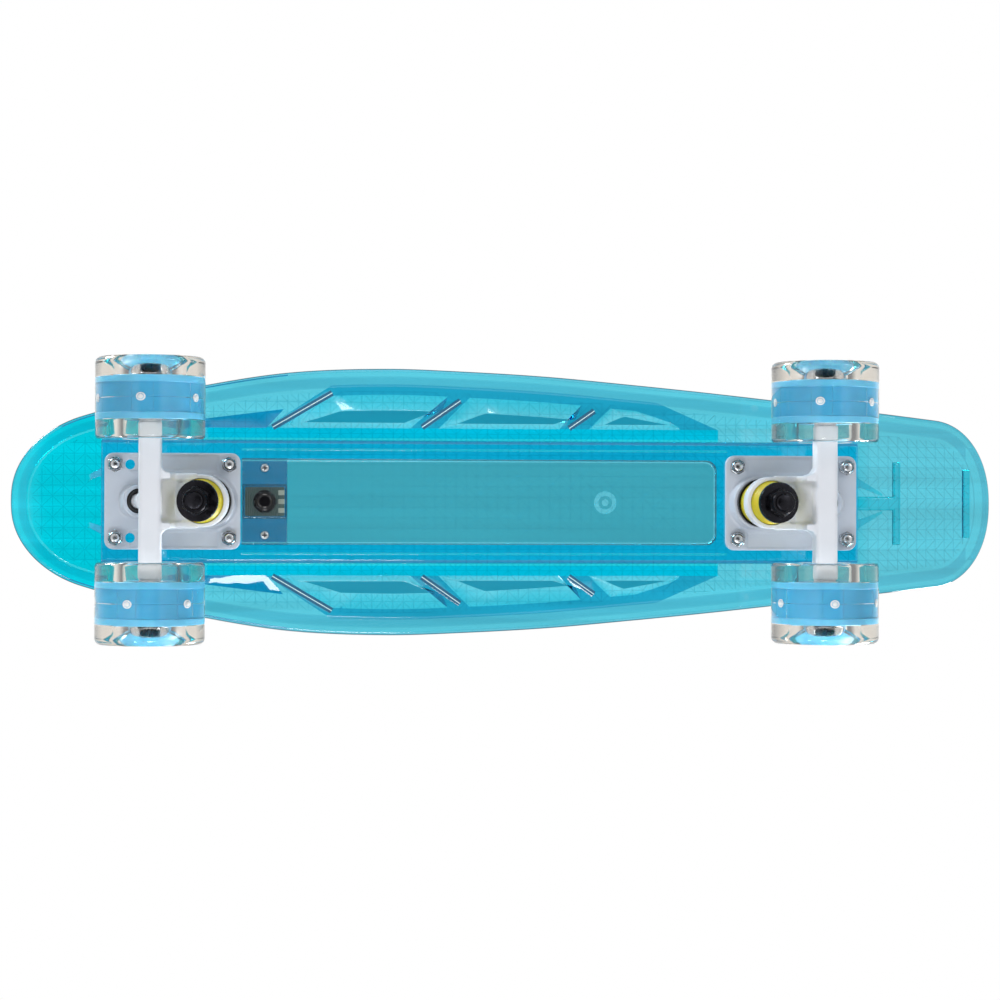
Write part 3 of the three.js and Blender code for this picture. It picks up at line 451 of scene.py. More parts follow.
pods = {
    "inner": 41.8, "outerMargin": 15.0, "floorInner": 44.4, "reach": (-99.0, 136.0), "floorRound": 0.8,
    # each pocket: x of its nose wall at the inner and outer edge, x of its tail wall, how far each wall
    # slopes in from the mouth to the floor, the floor's distance from the deck's edge, the tail wall's curve
    "pockets": (((134.0, 106.0), (59.5, 38.0), 7.0, 3.0, 23.0, 1.0),
                ((43.5, 25.5), (-26.0, -38.5), 9.0, 3.0, 23.0, 1.0),
                ((-43.0, -55.5), (-96.0, -70.0), 8.0, 5.0, 18.5, 2.0)),
    "outlineSteps": (10, 4),  # along a pocket's sides, and along its end walls
    # the fine crests on the struts: x and y at the inner end, x and y at the outer end
    "crests": (((137.6, 42.2), (104.0, 61.8)), ((52.8, 42.6), (31.0, 57.8)), ((-31.5, 42.4), (-46.0, 52.5))),
    "crest": (3.4, 0.5, 1.3),  # width, width of the tip, height
    # the pale strip on each crest's tip is a painted highlight for the glint along it
    "glintStrip": ((0.4, 0.25), (-0.05, 0.25), (-0.15, 0.12)),  # the tip's section: heights and half widths
}


def deckSide(share):
    # the side line, a smooth curve through the shares
    places, widths = deck["placeShares"], deck["widthShares"]
    i = max(j for j in range(len(places) - 1) if places[j] <= share)
    t0, t1 = places[i], places[i + 1]
    before = i - 1 if i > 0 else i + 1
    after = i + 2 if i + 2 < len(places) else i
    p = (share - t0) / (t1 - t0)
    startPull = (t1 - t0) / 2 / (t0 - (places[before] if i > 0 else t1))
    endPull = (t1 - t0) / 2 / ((places[after] if i + 2 < len(places) else t0) - t1)
    return (widths[before] * startPull * (-p ** 3 + 2 * p * p - p)
            + widths[i] * ((1 + startPull) * p ** 3 - (1.5 + 2 * startPull) * p * p
                           + (startPull - 0.5) * p + 1)
            + widths[i + 1] * (-(1 + endPull) * p ** 3 + (1.5 + endPull) * p * p + 0.5 * p)
            + widths[after] * endPull * (p ** 3 - p * p))


def endShare(distance, length, power):
    left = min(max(1 - distance / length, 0), 1)
    return (1 - left ** power) ** (1 / power)


def halfWidth(x, inset=0.0):
    fromNose, fromTail = deck["length"] / 2 - x, deck["length"] / 2 + x
    side = deckSide(min(max(fromNose / deck["length"], 0), 0.9999)) * deck["width"] / 2 - inset
    (noseLength, nosePower), (tailLength, tailPower) = deck["noseCap"], deck["tailCap"]
    return (side * endShare(fromNose - inset, noseLength - inset, nosePower)
            * endShare(fromTail - inset, tailLength - inset, tailPower))


def rise(x):
    length, bend, angle = deck["kick"]
    lift, liftLength = deck["noseRise"]
    along = length - deck["length"] / 2 - x
    arc = bend * sin(radians(angle))
    if along <= 0:
        return lift * max((x - deck["length"] / 2 + liftLength) / liftLength, 0) ** 2
    if along < arc:
        return bend - sqrt(bend ** 2 - along ** 2)
    return bend * (1 - cos(radians(angle))) + (along - arc) * tan(radians(angle))


def deckOutline(inset):
    steps, end = deck["outlineSteps"], deck["length"] / 2 - inset
    turns = [2 * pi * i / steps for i in range(steps)]
    return [(end * cos(t), halfWidth(end * cos(t), inset) * (1 if sin(t) >= 0 else -1)) for t in turns]


def slanted(start, end, reach):
    # carries the line through two points on to another distance from the middle
    (x1, y1), (x2, y2) = start, end
    return x1 + (x2 - x1) * (reach - y1) / (y2 - y1), reach


def deckSkin():
    bm = outlinePrism(deckOutline(0), deck["top"] - deck["skin"], deck["top"])
    edges = levelEdges(bm, deck["top"]) + levelEdges(bm, deck["top"] - deck["skin"])
    return scratch(roundEdges(bm, edges, deck["edgeRound"], 4))


def deckHull():
    under, over = deck["top"] - deck["hull"], deck["top"] - deck["skin"] / 2
    bm = outlinePrism(deckOutline(deck["flange"]), under, over)
    hull = scratch(roundEdges(bm, levelEdges(bm, under), deck["hullRound"], 4))
    outside, inner = deck["width"], pods["inner"]
    noseX, noseOuterX = pods["pockets"][0][0]
    noseCorner = (noseX + deck["rimNose"], inner)
    noseOuter = (noseOuterX + deck["rimNose"], halfWidth(noseOuterX, pods["outerMargin"]))
    front = [(deck["plateauEnd"], outside), (deck["plateauEnd"], inner), noseCorner,
             slanted(noseCorner, noseOuter, outside)]
    tailCorner = (deck["rimTail"], inner)
    tailOuter = (deck["rimTailOuter"], halfWidth(deck["rimTailOuter"], deck["flange"]))
    back = [slanted(tailCorner, tailOuter, outside), tailCorner, (deck["rimTail"], -1),
            (-deck["length"], -1), (-deck["length"], outside)]
    cuts = []
    for side in (1, -1):
        for points in (front, back):
            cuts.append(scratch(outlinePrism([(x, side * y) for x, y in points], under - 5, over + 5)))
    return combined(hull, cuts, "DIFFERENCE")


def noseShoulder(side):
    # beside the front wheels the hull slopes out into the skin; the outer line follows the deck's edge
    under, floor = deck["top"] - deck["hull"], deck["top"] - deck["skin"]
    (start, startY), (end, endY) = deck["shoulder"]
    innerEnd = pods["pockets"][0][0][0] + deck["rimNose"]
    bm = bmesh.new()
    bmesh.ops.create_grid(bm, x_segments=1, y_segments=1, size=0.5)
    for vert in bm.verts:
        atEnd, outside = vert.co.x > 0, vert.co.y > 0
        if outside:
            vert.co = (end if atEnd else start, side * (endY if atEnd else startY), floor)
        else:
            vert.co = (innerEnd if atEnd else start, side * (pods["inner"] - 0.5), under)
    lifted = bmesh.ops.extrude_face_region(bm, geom=bm.faces[:])["geom"]
    for vert in vertsOf(lifted):
        vert.co.z = floor + 1
    return scratch(bm)


def deckSpine():
    under, over, half = deck["top"] - deck["spine"], deck["top"] - deck["skin"] / 2, deck["spineHalf"]
    bm = bar(deck["spineEnds"], (-half, half), (under, over))
    roundEdges(bm, [e for e in levelEdges(bm, under) if span(e, 1) < 0.01], deck["spineRound"], 4)
    ends = [e for e in sharpEdges(bm) if all(v.co.z < over - 0.1 for v in e.verts) and span(e, 0) < 0.01]
    return scratch(roundEdges(bm, ends, deck["spineEndRound"], 2))


def wedgeRib(root, length, spread, tipSpread, side):
    # a rib that tapers from the end of the spine into the skin
    wide, narrow = deck["wedgeWidth"]
    rootDepth, tipDepth = deck["wedgeDepth"]
    under, over = deck["top"] - deck["skin"], deck["top"] - deck["skin"] / 2
    bm = bmesh.new()
    for vert in bmesh.ops.create_cube(bm, size=2)["verts"]:
        atTip = vert.co.x > 0
        width = narrow if atTip else wide
        bottom = under + tipDepth if atTip else under - rootDepth
        x = root + (length if atTip else -1.5 if length > 0 else 1.5)
        y = side * (tipSpread if atTip else spread) + vert.co.y * width / 2
        vert.co = (x, y, over if vert.co.z > 0 else bottom)
    lower = [e for e in bm.edges if all(v.co.z < over - 0.1 for v in e.verts) and span(e, 0) > 1]
    return scratch(roundEdges(bm, lower, deck["wedgeRound"], 3))


def deckRibs():
    shapes = [wedgeRib(*wedge, side) for wedge in (deck["noseWedge"], deck["tailWedge"]) for side in (1, -1)]
    spineUnder, skinUnder = deck["top"] - deck["spine"], deck["top"] - deck["skin"]
    over = deck["top"] - deck["skin"] / 2
    place, width, height, rounding = deck["bead"]
    beadEnds = (deck["panel"][0] - deck["beadStart"], deck["panel"][1])
    for side in (1, -1):
        bm = bar(beadEnds, (side * place - width / 2, side * place + width / 2), (spineUnder - height, over))
        shapes.append(scratch(roundEdges(bm, levelEdges(bm, spineUnder - height), rounding, 3)))
    bandUnder, half = skinUnder - deck["bandDepth"], deck["tailRib"] / 2
    bars = [((deck["tailBands"][0][0], deck["spineEnds"][0] + 1.5), (-half, half))]
    bars += [((x - deck["bandLength"] / 2, x + deck["bandLength"] / 2), (-width / 2, width / 2))
             for x, width in deck["tailBands"]]
    for x, y in bars:
        bm = bar(x, y, (bandUnder, over))
        shapes.append(scratch(roundEdges(bm, levelEdges(bm, bandUnder), deck["bandRound"], 6)))
    return shapes


def crestBars(edge):
    # one half of a section, as heights and distances from the middle, is mirrored and run along each crest
    section = [(-z, y) for z, y in edge] + [(-z, -y) for z, y in reversed(edge)]
    shapes = []
    for side in (1, -1):
        for (x1, y1), (x2, y2) in pods["crests"]:
            length = hypot(x2 - x1, y2 - y1)
            bm = outlinePrism(section, -length / 2, length / 2)
            turn = Matrix.Rotation(atan2(side * (y2 - y1), x2 - x1), 4, "Z") @ Matrix.Rotation(pi / 2, 4, "Y")
            move = Matrix.Translation(((x1 + x2) / 2, side * (y1 + y2) / 2, 0))
            bmesh.ops.transform(bm, matrix=move @ turn, verts=bm.verts)
            shapes.append(scratch(bm))
    return shapes


def podCrests():
    under, over = deck["top"] - deck["hull"], deck["top"] - deck["skin"] / 2
    width, tip, height = pods["crest"]
    return crestBars([(over, width / 2), (under, width / 2), (under - height, tip / 2)])


# pale strips along the crests' tips: a painted highlight standing for the glint along each crest
def crestTips():
    end = deck["top"] - deck["hull"] - pods["crest"][2]
    return crestBars([(end + height, half) for height, half in pods["glintStrip"]])


def podPocket(side, noseWall, tailWall, noseRun, tailRun, floorMargin, tailCurve):
    # the mouth and the floor follow the same outline, drawn in by each wall's slope
    edgeSteps, wallSteps = pods["outlineSteps"]
    shares = [(i / edgeSteps, 1) for i in range(edgeSteps)]
    shares += [(1, 1 - i / wallSteps) for i in range(wallSteps)]
    shares += [(1 - a, 1 - b) for a, b in shares]

    def ring(inner, margin, noseIn, tailIn):
        points = []
        for along, out in shares:
            nose = noseWall[0] - noseIn + (noseWall[1] - noseWall[0]) * out
            tail = tailWall[0] + tailIn + (tailWall[1] - tailWall[0]) * out ** tailCurve
            x = nose + (tail - nose) * along
            points.append((x, side * (inner + (halfWidth(x, margin) - inner) * out)))
        return points

    mouth = ring(pods["inner"], pods["outerMargin"], 0, 0)
    floor = ring(pods["floorInner"], floorMargin, noseRun, tailRun)
    floorLevel, mouthLevel = deck["top"] - deck["skin"], deck["top"] - deck["hull"]
    bm = outlinePrism(mouth, mouthLevel, floorLevel)
    for vert in [v for v in bm.verts if v.co.z > floorLevel - 0.1]:
        x, y, z = vert.co
        nearest = min(range(len(mouth)), key=lambda i: hypot(x - mouth[i][0], y - mouth[i][1]))
        vert.co.x, vert.co.y = floor[nearest]
    roundEdges(bm, levelEdges(bm, floorLevel), pods["floorRound"], 2)
    below = [f for f in bm.faces if all(v.co.z < mouthLevel + 0.01 for v in f.verts)]
    lowered = bmesh.ops.extrude_face_region(bm, geom=below)["geom"]
    bmesh.ops.delete(bm, geom=below, context="FACES_ONLY")
    bmesh.ops.translate(bm, vec=(0, 0, -6), verts=vertsOf(lowered))
    return scratch(bm)


def panelPocket():
    (tail, nose), half = deck["panel"], deck["panelHalf"]
    floorLevel = deck["top"] - deck["skin"]
    bm = bar((tail, nose), (-half, half), (deck["top"] - deck["spine"] - 5, floorLevel))
    upright = [e for e in bm.edges if span(e, 2) > 1 and e.verts[0].co.x < tail + 1]
    roundEdges(bm, upright, deck["panelCorner"], 6)
    draft = (half - deck["panelDraft"]) / half
    for vert in bm.verts:
        if vert.co.z > floorLevel - 0.1:
            vert.co.y *= draft
    return scratch(roundEdges(bm, levelEdges(bm, floorLevel), deck["panelFillet"], 3))


def boltPlaces():
    # from the middle of a truck's bolt pattern
    length, width = truck["bolts"]
    return [(a * length / 2, b * width / 2) for a, b in ((1, 1), (-1, 1), (-1, -1), (1, -1))]


def deckHoles():
    shapes, top, under = [], deck["top"], deck["top"] - deck["skin"]
    hole, sink = deck["boltHole"], deck["boltSink"]
    for end, truckX, facing in truck["places"]:
        for x, y in boltPlaces():
            bm = turned([(0, top + 2), (sink, top + 2), (sink, top), (hole, top - deck["sinkDepth"]),
                         (hole, top - 12), (0, top - 12)], 32)
            bmesh.ops.translate(bm, vec=(truckX + x, y, 0), verts=bm.verts)
            shapes.append(scratch(bm))
    radius, depth = deck["screwHole"]
    for side in (1, -1):
        place = (light["x"], side * light["screwSpread"])
        shapes.append(scratch(post(radius, under - 2, under + depth, 20, place=place)))
    x, y, radius, depth = deck["gateMark"]
    mark = turned([(0, under - 1), (radius, under - 1), (radius, under + 0.02),
                   (radius * 0.6, under + depth * 0.7), (radius * 0.3, under + depth),
                   (0, under + depth * 0.5)], 32)
    bmesh.ops.translate(mark, vec=(x, y, 0), verts=mark.verts)
    return shapes + [scratch(mark)]


def gripGrooves():
    # a body of air over the deck whose underside has ridges along a grid of triangles
    cell, depth, top = deck["gripCell"], deck["gripDepth"], deck["top"]
    columns, rows = round(deck["length"] / cell), round(deck["width"] / cell)
    bm = bmesh.new()
    bmesh.ops.create_grid(bm, x_segments=columns, y_segments=rows, size=0.5)
    bmesh.ops.scale(bm, vec=(columns * cell, rows * cell, 1), verts=bm.verts)
    bmesh.ops.translate(bm, vec=(0, 0, top - depth), verts=bm.verts)
    for face in bm.faces[:]:
        middle = face.calc_center_median()
        odd = (round(middle.x / cell - 0.5) + round(middle.y / cell - 0.5)) % 2
        corners = face.verts[:]
        bmesh.ops.connect_verts(bm, verts=[corners[odd], corners[odd + 2]])
    bm.normal_update()
    bmesh.ops.inset_individual(bm, faces=bm.faces, thickness=deck["gripInset"], depth=0)
    raised = {v for f in bm.faces if len(f.verts) == 3 for v in f.verts}
    bmesh.ops.translate(bm, vec=(0, 0, deck["gripLift"]), verts=list(raised))
    side = bmesh.ops.extrude_edge_only(bm, edges=[e for e in bm.edges if e.is_boundary])["geom"]
    bmesh.ops.translate(bm, vec=(0, 0, 6), verts=vertsOf(side))
    bmesh.ops.contextual_create(bm, geom=[e for e in bm.edges if e.is_boundary])
    border = outlinePrism(deckOutline(deck["gripBorder"]), top - 3, top + 4)
    return combined(scratch(bm), [scratch(border)], "INTERSECT")


def gripLines():
    # two fine grooves follow the deck's outline round the grip
    (width, depth), top, shapes = deck["gripLine"], deck["top"], []
    for inset in deck["gripLines"]:
        ring = scratch(outlinePrism(deckOutline(inset), top - depth, top + 2))
        inside = scratch(outlinePrism(deckOutline(inset + width), top - 1, top + 3))
        shapes.append(combined(ring, [inside], "DIFFERENCE"))
    return shapes


def cutAcross(bm):
    # cuts across the deck let the kick and the nose bend smoothly, and part each stretch from the next
    starts = (deck["kick"][0] - deck["length"] / 2, deck["length"] / 2 - deck["noseRise"][1], 0)
    places = [light["x"] - light["length"] / 2] + [x for x, width in deck["tailBands"]]
    for origin, (start, step, count) in zip(starts, (deck["kickCuts"], deck["noseCuts"], deck["tintCuts"])):
        places += [origin + start + step * i for i in range(count)]
    # the lines along the deck part off the spine's edge strips, which are tinted as painted shade
    half, inner = deck["spineHalf"], pods["inner"]
    edges = (half - 2, half - 0.5, half + 0.1, half + 1.2, inner + 0.2)
    lines = [side * y for y in edges for side in (1, -1)]
    for place, along in [(x, (1, 0, 0)) for x in places] + [(y, (0, 1, 0)) for y in lines]:
        bmesh.ops.bisect_plane(bm, geom=bm.verts[:] + bm.edges[:] + bm.faces[:], dist=0.0001,
                               plane_co=Vector(along) * place, plane_no=along)


def deckRegion(x, y, z, normal):
    # names the stretch that a face belongs to, and says how much the mould frosts it
    top = deck["top"]
    floor, hull, spine = top - deck["skin"], top - deck["hull"], top - deck["spine"]
    flat, out, half = normal.z < -0.998, abs(y), deck["spineHalf"]
    # the rounded rim is tinted dark: painted shade along the deck's edge
    if out > halfWidth(x, 0.6):
        return "edge", 0.0
    if normal.z > -0.05:
        if z < top - 1:
            return "panelWall", 0.0
        if normal.z < 0.995 or z < top - 0.2:
            return "groove", 0.0
        outer, inner = deck["gripLines"]
        between = halfWidth(x, inner) < out < halfWidth(x, outer + deck["gripLine"][0])
        return ("gripBorder", 0.0) if between else ("top", 0.0)
    if deck["panel"][0] < x < deck["panel"][1] and out < deck["panelHalf"] and z > spine + 0.3:
        if not (flat and abs(z - floor) < 0.4):
            return "panelWall", 0.3
        return ("seat", 0.3) if x > light["x"] - light["length"] / 2 else ("panel", 1.0)
    tailEnd, noseEnd = pods["reach"]
    if (pods["inner"] < out < halfWidth(x, pods["outerMargin"] - 0.5)
            and tailEnd < x < noseEnd - (out - pods["inner"]) * 1.3):
        if flat and abs(z - floor) < 0.1:
            return "podFloor", 1.0
        if z > hull + 0.1:
            return "podWall", 0.4
    if x < deck["spineEnds"][0] - 0.1 and z < floor - 0.15 and out < deck["tailBands"][0][1] / 2 + 0.1:
        return "tailBand", 0.0
    if z < spine + 2.6 and out < half + 0.1:
        if z < spine - 0.1:
            return "bead", 0.0
        # a strip along each edge of the spine is tinted dark: painted shade
        return ("spineEdgePaintedShade", 0.0) if half - 2 < out < half - 0.5 else ("spine", 0.0)
    # the crests' flanks are tinted dark: painted shade outlining their painted highlight tips
    if z < hull - 0.1 and out > pods["inner"] - 0.5:
        return "crest", 0.0
    if -0.995 < normal.z < -0.9 and out > pods["inner"] and x > pods["pockets"][0][0][0] - 6 and z > hull:
        return "shoulder", 0.0
    if z < hull + 1.6:
        # the nose's deep cyan is painted light, for light carried along inside the plastic
        if x > deck["plateauEnd"] - 1:
            return "nose", 0.0
        if out < pods["inner"] + 0.2:
            return ("bandLine", 0.0) if out < half + 1.2 else ("band", 0.0)
        return "rim", 0.0
    # beyond the plateau the nose's flange takes the same painted light
    if x > deck["plateauEnd"]:
        return "noseFlangePaintedLight", 0.0
    if x < deck["spineEnds"][0] - 2:
        return "tail", 0.0
    return "skin", 0.0


# each face takes its frost and its stretch's tint, painted shade and painted light among the tints
def markRegions(mesh):
    frost = mesh.attributes.new("frost", "FLOAT", "FACE")
    tint = mesh.attributes.new("tint", "FLOAT_COLOR", "FACE")
    for face in mesh.polygons:
        region, matt = deckRegion(*face.center, face.normal)
        frost.data[face.index].value = matt
        # only the underside is tinted, and the filter counts once of two passes
        tint.data[face.index].color = [c * c for c in linear(deckTintsAndPaintedLight[region])]


def buildDeck():
    body = combined(deckSkin(), [deckHull(), deckSpine(), noseShoulder(1), noseShoulder(-1)] + deckRibs(),
                    "UNION")
    pockets = [podPocket(side, *pocket) for side in (1, -1) for pocket in pods["pockets"]]
    body = combined(body, [panelPocket()] + pockets + deckHoles(), "DIFFERENCE")
    body = combined(body, podCrests(), "UNION")
    body = combined(body, [gripGrooves()] + gripLines(), "DIFFERENCE")
    bm = bmesh.new()
    bm.from_mesh(body.data)
    cutAcross(bm)
    bm.to_mesh(body.data)
    bm.free()
    markRegions(body.data)
    for vert in body.data.vertices:
        vert.co.z += rise(vert.co.x)
    shell = finishPiece("deckShell", takenMesh(body), Matrix(), "board", ["deck"],
                        polycarbonate())
    # the lamps reach the trucks through the clear deck
    shell.visible_shadow = False
    # the crests' pale tips are a painted highlight
    finishPiece("crestTips", takenMesh(joined(crestTips())), Matrix(), "board", [],
                paintedGlintPolycarbonate())


# Polycarbonate, injection moulded: glass-clear with a polished skin, deep where it is thick. The floors of
# the recesses come from a sparked mould and are frosted. Tints by stretch add painted shade on the edge, the
# crests and the spine's edges, and painted light in the nose.
def polycarbonate():
    material, tree = newTree("polycarbonateTurquoise")
    place = addNode(tree, "ShaderNodeTexCoord")
    frost = addNode(tree, "ShaderNodeAttribute", attribute_name="frost")
    flow = addNode(tree, "ShaderNodeTexNoise", {
        "Vector": place.outputs["Object"], "Scale": scaleFor(11.1), "Detail": 3.0})
    polish = addNode(tree, "ShaderNodeMapRange", {
        "Value": flow.outputs["Fac"], "From Min": 0.3, "From Max": 0.7, "To Min": 0.02, "To Max": 0.06})
    rough = addNode(tree, "ShaderNodeMix", {
        "Factor": frost.outputs["Fac"], 2: polish.outputs["Result"], 3: 0.3}, data_type="FLOAT")
    wave = addNode(tree, "ShaderNodeTexNoise", {
        "Vector": place.outputs["Object"], "Scale": scaleFor(28.6), "Detail": 2.0})
    bump = addNode(tree, "ShaderNodeBump", {
        "Height": wave.outputs["Fac"], "Strength": 0.25, "Distance": 0.0006})
    # the stretch tints, among them painted shade and painted light
    tint = addNode(tree, "ShaderNodeAttribute", attribute_name="tint")
    # the melt leaves streaks along the deck, 200 mm long and 9 mm wide
    along = addNode(tree, "ShaderNodeMapping", {
        "Vector": place.outputs["Object"], "Scale": (scaleFor(200.0), scaleFor(9.09), 1.0)})
    flowLines = addNode(tree, "ShaderNodeTexNoise", {
        "Vector": along.outputs[0], "Scale": 1.0, "Detail": 3.0, "Distortion": 0.6})
    streak = addNode(tree, "ShaderNodeMapRange", {
        "Value": flowLines.outputs["Fac"], "From Min": 0.3, "From Max": 0.7, "To Min": 0.82, "To Max": 1.0})
    polished = addNode(tree, "ShaderNodeMapRange", {
        "Value": frost.outputs["Fac"], "To Min": 1.0, "To Max": 0.15})
    filtered = addNode(tree, "ShaderNodeMix", {
        "Factor": polished.outputs[0], 6: tint.outputs["Color"], 7: streak.outputs[0]},
        data_type="RGBA", blend_type="MULTIPLY")
    shader = addNode(tree, "ShaderNodeBsdfPrincipled", {
        "Base Color": filtered.outputs[2], "Roughness": rough.outputs[0], "IOR": 1.585,
        "Transmission Weight": 1.0, "Normal": bump.outputs[0]})
    depth = addNode(tree, "ShaderNodeVolumeAbsorption", {"Color": (0.0, 0.881, 0.941, 1), "Density": 505.0})
    addNode(tree, "ShaderNodeOutputMaterial", {"Surface": shader.outputs[0], "Volume": depth.outputs[0]})
    return material


# A painted highlight: the same plastic, pale and matt, standing for the glint along the crests' tips
def paintedGlintPolycarbonate():
    return worn("polycarbonatePaintedGlint", ("#B4E6F0", "#F2FFFF"), 0.0, (0.25, 0.45), 2.0)


# Wheels: each is made round z, with z towards the outside of the board, then laid on its axle

wheel = {
    "radius": 30.0, "halfWidth": 22.5, "cornerOuter": 3.4, "cornerInner": 2.2,
    "recess": 15.0, "recessRound": 1.0,
    "dishFloor": 12.8, "dishBend": (14.4, 5.6), "dishMouth": 20.2,  # the bend has a radius and a depth
    "track": 112.2, "axleOutset": 11.1, "axleHeight": 30.0,
    "core": 20.5, "coreHalf": 12.0, "coreRound": 0.5, "flange": 4.0, "bandDepth": 0.7, "bandSlope": 0.4,
    "partLine": (0.25, 0.3),  # half width and depth
    "seat": 11.3, "shoulder": 1.5,
    "bearing": 11.0, "bearingWidth": 7.0, "bearingRound": 0.3,
    "ringWidth": (1.8, 2.0), "shieldDepth": 0.35,  # of a bearing's rings, at the face and at the shield
    "chips": 4, "chip": 3.5, "chipDepth": 0.15, "chipSeams": (-13.0, 17.0), "seam": (0.15, 0.25),
    "lenses": ((1.6, 2.3, 0.1), (0, 1.35, 0.35)),  # the chip's rim and its dome: two radii and a height
    # how far each wheel has rolled, in degrees
    "rolled": {"front_left": -11.3, "front_right": -60.0, "rear_left": -19.0, "rear_right": -2.0},
}


def axleMatrix(side):
    # z runs outwards along the axle on the given side
    place = Matrix.Translation((wheel["axleOutset"], side * wheel["track"] / 2, wheel["axleHeight"]))
    return place @ Matrix.Rotation(-side * pi / 2, 4, "X")


def tyreMesh():
    w = wheel
    face, outer, inner, lip = w["halfWidth"], w["cornerOuter"], w["cornerInner"], w["recessRound"]
    # the urethane is cast round the core, so it reaches into the core's band
    bore, side, edge = w["core"] - 0.1, w["coreHalf"], w["coreHalf"] - w["flange"]
    band, slope = bore - w["bandDepth"], w["bandSlope"]
    bendRadius, bendDepth = w["dishBend"]
    profile = [(bore, -side), (bore, -edge - slope), (band, -edge), (band, edge), (bore, edge + slope),
               (bore, side), (w["dishFloor"], side + 0.3), (bendRadius, face - bendDepth),
               (w["dishMouth"], face)]
    profile += arcPoints((w["radius"] - outer, face - outer), outer, 90, 0)
    profile += arcPoints((w["radius"] - inner, inner - face), inner, 0, -90)
    profile += arcPoints((w["recess"] + lip, lip - face), lip, -90, -180, 3)
    profile += [(w["recess"], -side - 0.3)]
    return meshOf(turned(profile, 96))


def coreMesh():
    w = wheel
    radius, half, corner = w["core"], w["coreHalf"], w["coreRound"]
    band, seat, inside = radius - w["bandDepth"], w["seat"], w["seat"] - w["shoulder"]
    edge, step, slope = half - w["flange"], half - w["bearingWidth"] - 0.2, w["bandSlope"]
    lineHalf, lineDepth = w["partLine"]
    profile = [(seat, -half), (radius - corner, -half), (radius, corner - half), (radius, -edge - slope),
               (band, -edge), (band, -lineHalf), (band - lineDepth, 0), (band, lineHalf), (band, edge),
               (radius, edge + slope), (radius, half - corner), (radius - corner, half), (seat, half),
               (seat, step), (inside, step), (inside, -step), (seat, -step)]
    chip, top = w["chip"] / 2, radius - w["chipDepth"]
    seamHalf, seamDepth = w["seam"]
    pads, seams = [], []
    for i in range(w["chips"]):
        angle = 2 * pi * i / w["chips"]
        pad = bar((band - 1, top), (-chip, chip), (-chip, chip))
        roundEdges(pad, [e for e in pad.edges if all(v.co.x > band for v in e.verts)], 0.4, 2)
        pads.append(moved(scratch(pad), Matrix.Rotation(angle, 4, "Z")))
        for degree in w["chipSeams"]:
            seam = bar((band - seamDepth, radius + 1), (-seamHalf, seamHalf), (-edge, edge))
            seams.append(moved(scratch(seam), Matrix.Rotation(angle + radians(degree), 4, "Z")))
    body = combined(scratch(turned(profile, 96)), pads, "UNION")
    return takenMesh(combined(body, seams, "DIFFERENCE"))


def chipMesh():
    # the light chips' round lenses, one on each pad of the core
    bm = bmesh.new()
    lift = Matrix.Translation((0, 0, wheel["core"] - wheel["chipDepth"]))
    for i in range(wheel["chips"]):
        turn = Matrix.Rotation(2 * pi * i / wheel["chips"], 4, "Z") @ Matrix.Rotation(pi / 2, 4, "Y")
        for inner, outer, top in wheel["lenses"]:
            profile = [(inner, -0.6), (outer, -0.6), (outer, top - 0.1), (outer - 0.1, top), (inner, top)]
            lens = turned(profile, 24)
            bmesh.ops.transform(lens, matrix=turn @ lift, verts=lens.verts)
            bm.from_mesh(meshOf(lens))
    return meshOf(bm)


def bearingMesh():
    half, outer, inner = wheel["bearingWidth"] / 2, wheel["bearing"], truck["axle"] + 0.3
    corner, shield = wheel["bearingRound"], half - wheel["shieldDepth"]
    ring, ringFoot = wheel["ringWidth"]
    return meshOf(turned([
        (inner, -half), (outer - corner, -half), (outer, corner - half), (outer, half - corner),
        (outer - corner, half), (outer - ring, half), (outer - ringFoot, shield), (inner + ringFoot, shield),
        (inner + ring, half), (inner + 0.2, half), (inner, half - 0.2)], 64))


def buildWheels():
    tyre, core, bearing, chips = tyreMesh(), coreMesh(), bearingMesh(), chipMesh()
    urethane, nylon, steel, resin = clearUrethane(), coreNylon(), bearingSteel(), chipResin()
    bearingPlace = wheel["coreHalf"] - wheel["bearingWidth"] / 2
    for end, x, facing in truck["places"]:
        for side in (1, -1):
            name = f"{end}_{'left' if side * facing > 0 else 'right'}"
            body, place = f"{name}_wheel", truckMatrix(x, facing) @ axleMatrix(side)
            clear = finishPiece(f"{name}_tyre_look", tyre.copy(), place, body, [f"{name}_tyre"],
                                urethane)
            # the lamps reach the core through the clear tyre
            clear.visible_shadow = False
            rolled = place @ Matrix.Rotation(radians(wheel["rolled"][name]), 4, "Z")
            finishPiece(f"{name}_core_look", core.copy(), rolled, body, [f"{name}_core"], nylon)
            finishPiece(f"{name}_chip_look", chips.copy(), rolled, body, [], resin)
            for way, part in ((1, "outer"), (-1, "inner")):
                out = Matrix.Translation((0, 0, way * bearingPlace))
                turn = Matrix.Rotation(0 if way > 0 else pi, 4, "X")
                finishPiece(f"{name}_{part}_bearing_look", bearing.copy(), place @ out @ turn, body,
                            [f"{name}_{part}_bearing"], steel)


# Urethane, cast clear: water-white with a trace of warmth, polished on the faces and matt where it rolls
def clearUrethane():
    material, tree = newTree("urethaneClear")
    place = addNode(tree, "ShaderNodeTexCoord")
    scuff = addNode(tree, "ShaderNodeTexNoise", {
        "Vector": place.outputs["Object"], "Scale": scaleFor(4.17), "Detail": 4.0})
    rough = addNode(tree, "ShaderNodeMapRange", {
        "Value": scuff.outputs["Fac"], "From Min": 0.35, "From Max": 0.7, "To Min": 0.02, "To Max": 0.07})
    shader = addNode(tree, "ShaderNodeBsdfPrincipled", {
        "Base Color": linear("#FBF9F6"), "Roughness": rough.outputs[0], "IOR": 1.49,
        "Transmission Weight": 1.0})
    tint = addNode(tree, "ShaderNodeVolumeAbsorption", {"Color": linear("#E4DFD6"), "Density": 22.0})
    addNode(tree, "ShaderNodeOutputMaterial", {"Surface": shader.outputs[0], "Volume": tint.outputs[0]})
    return material
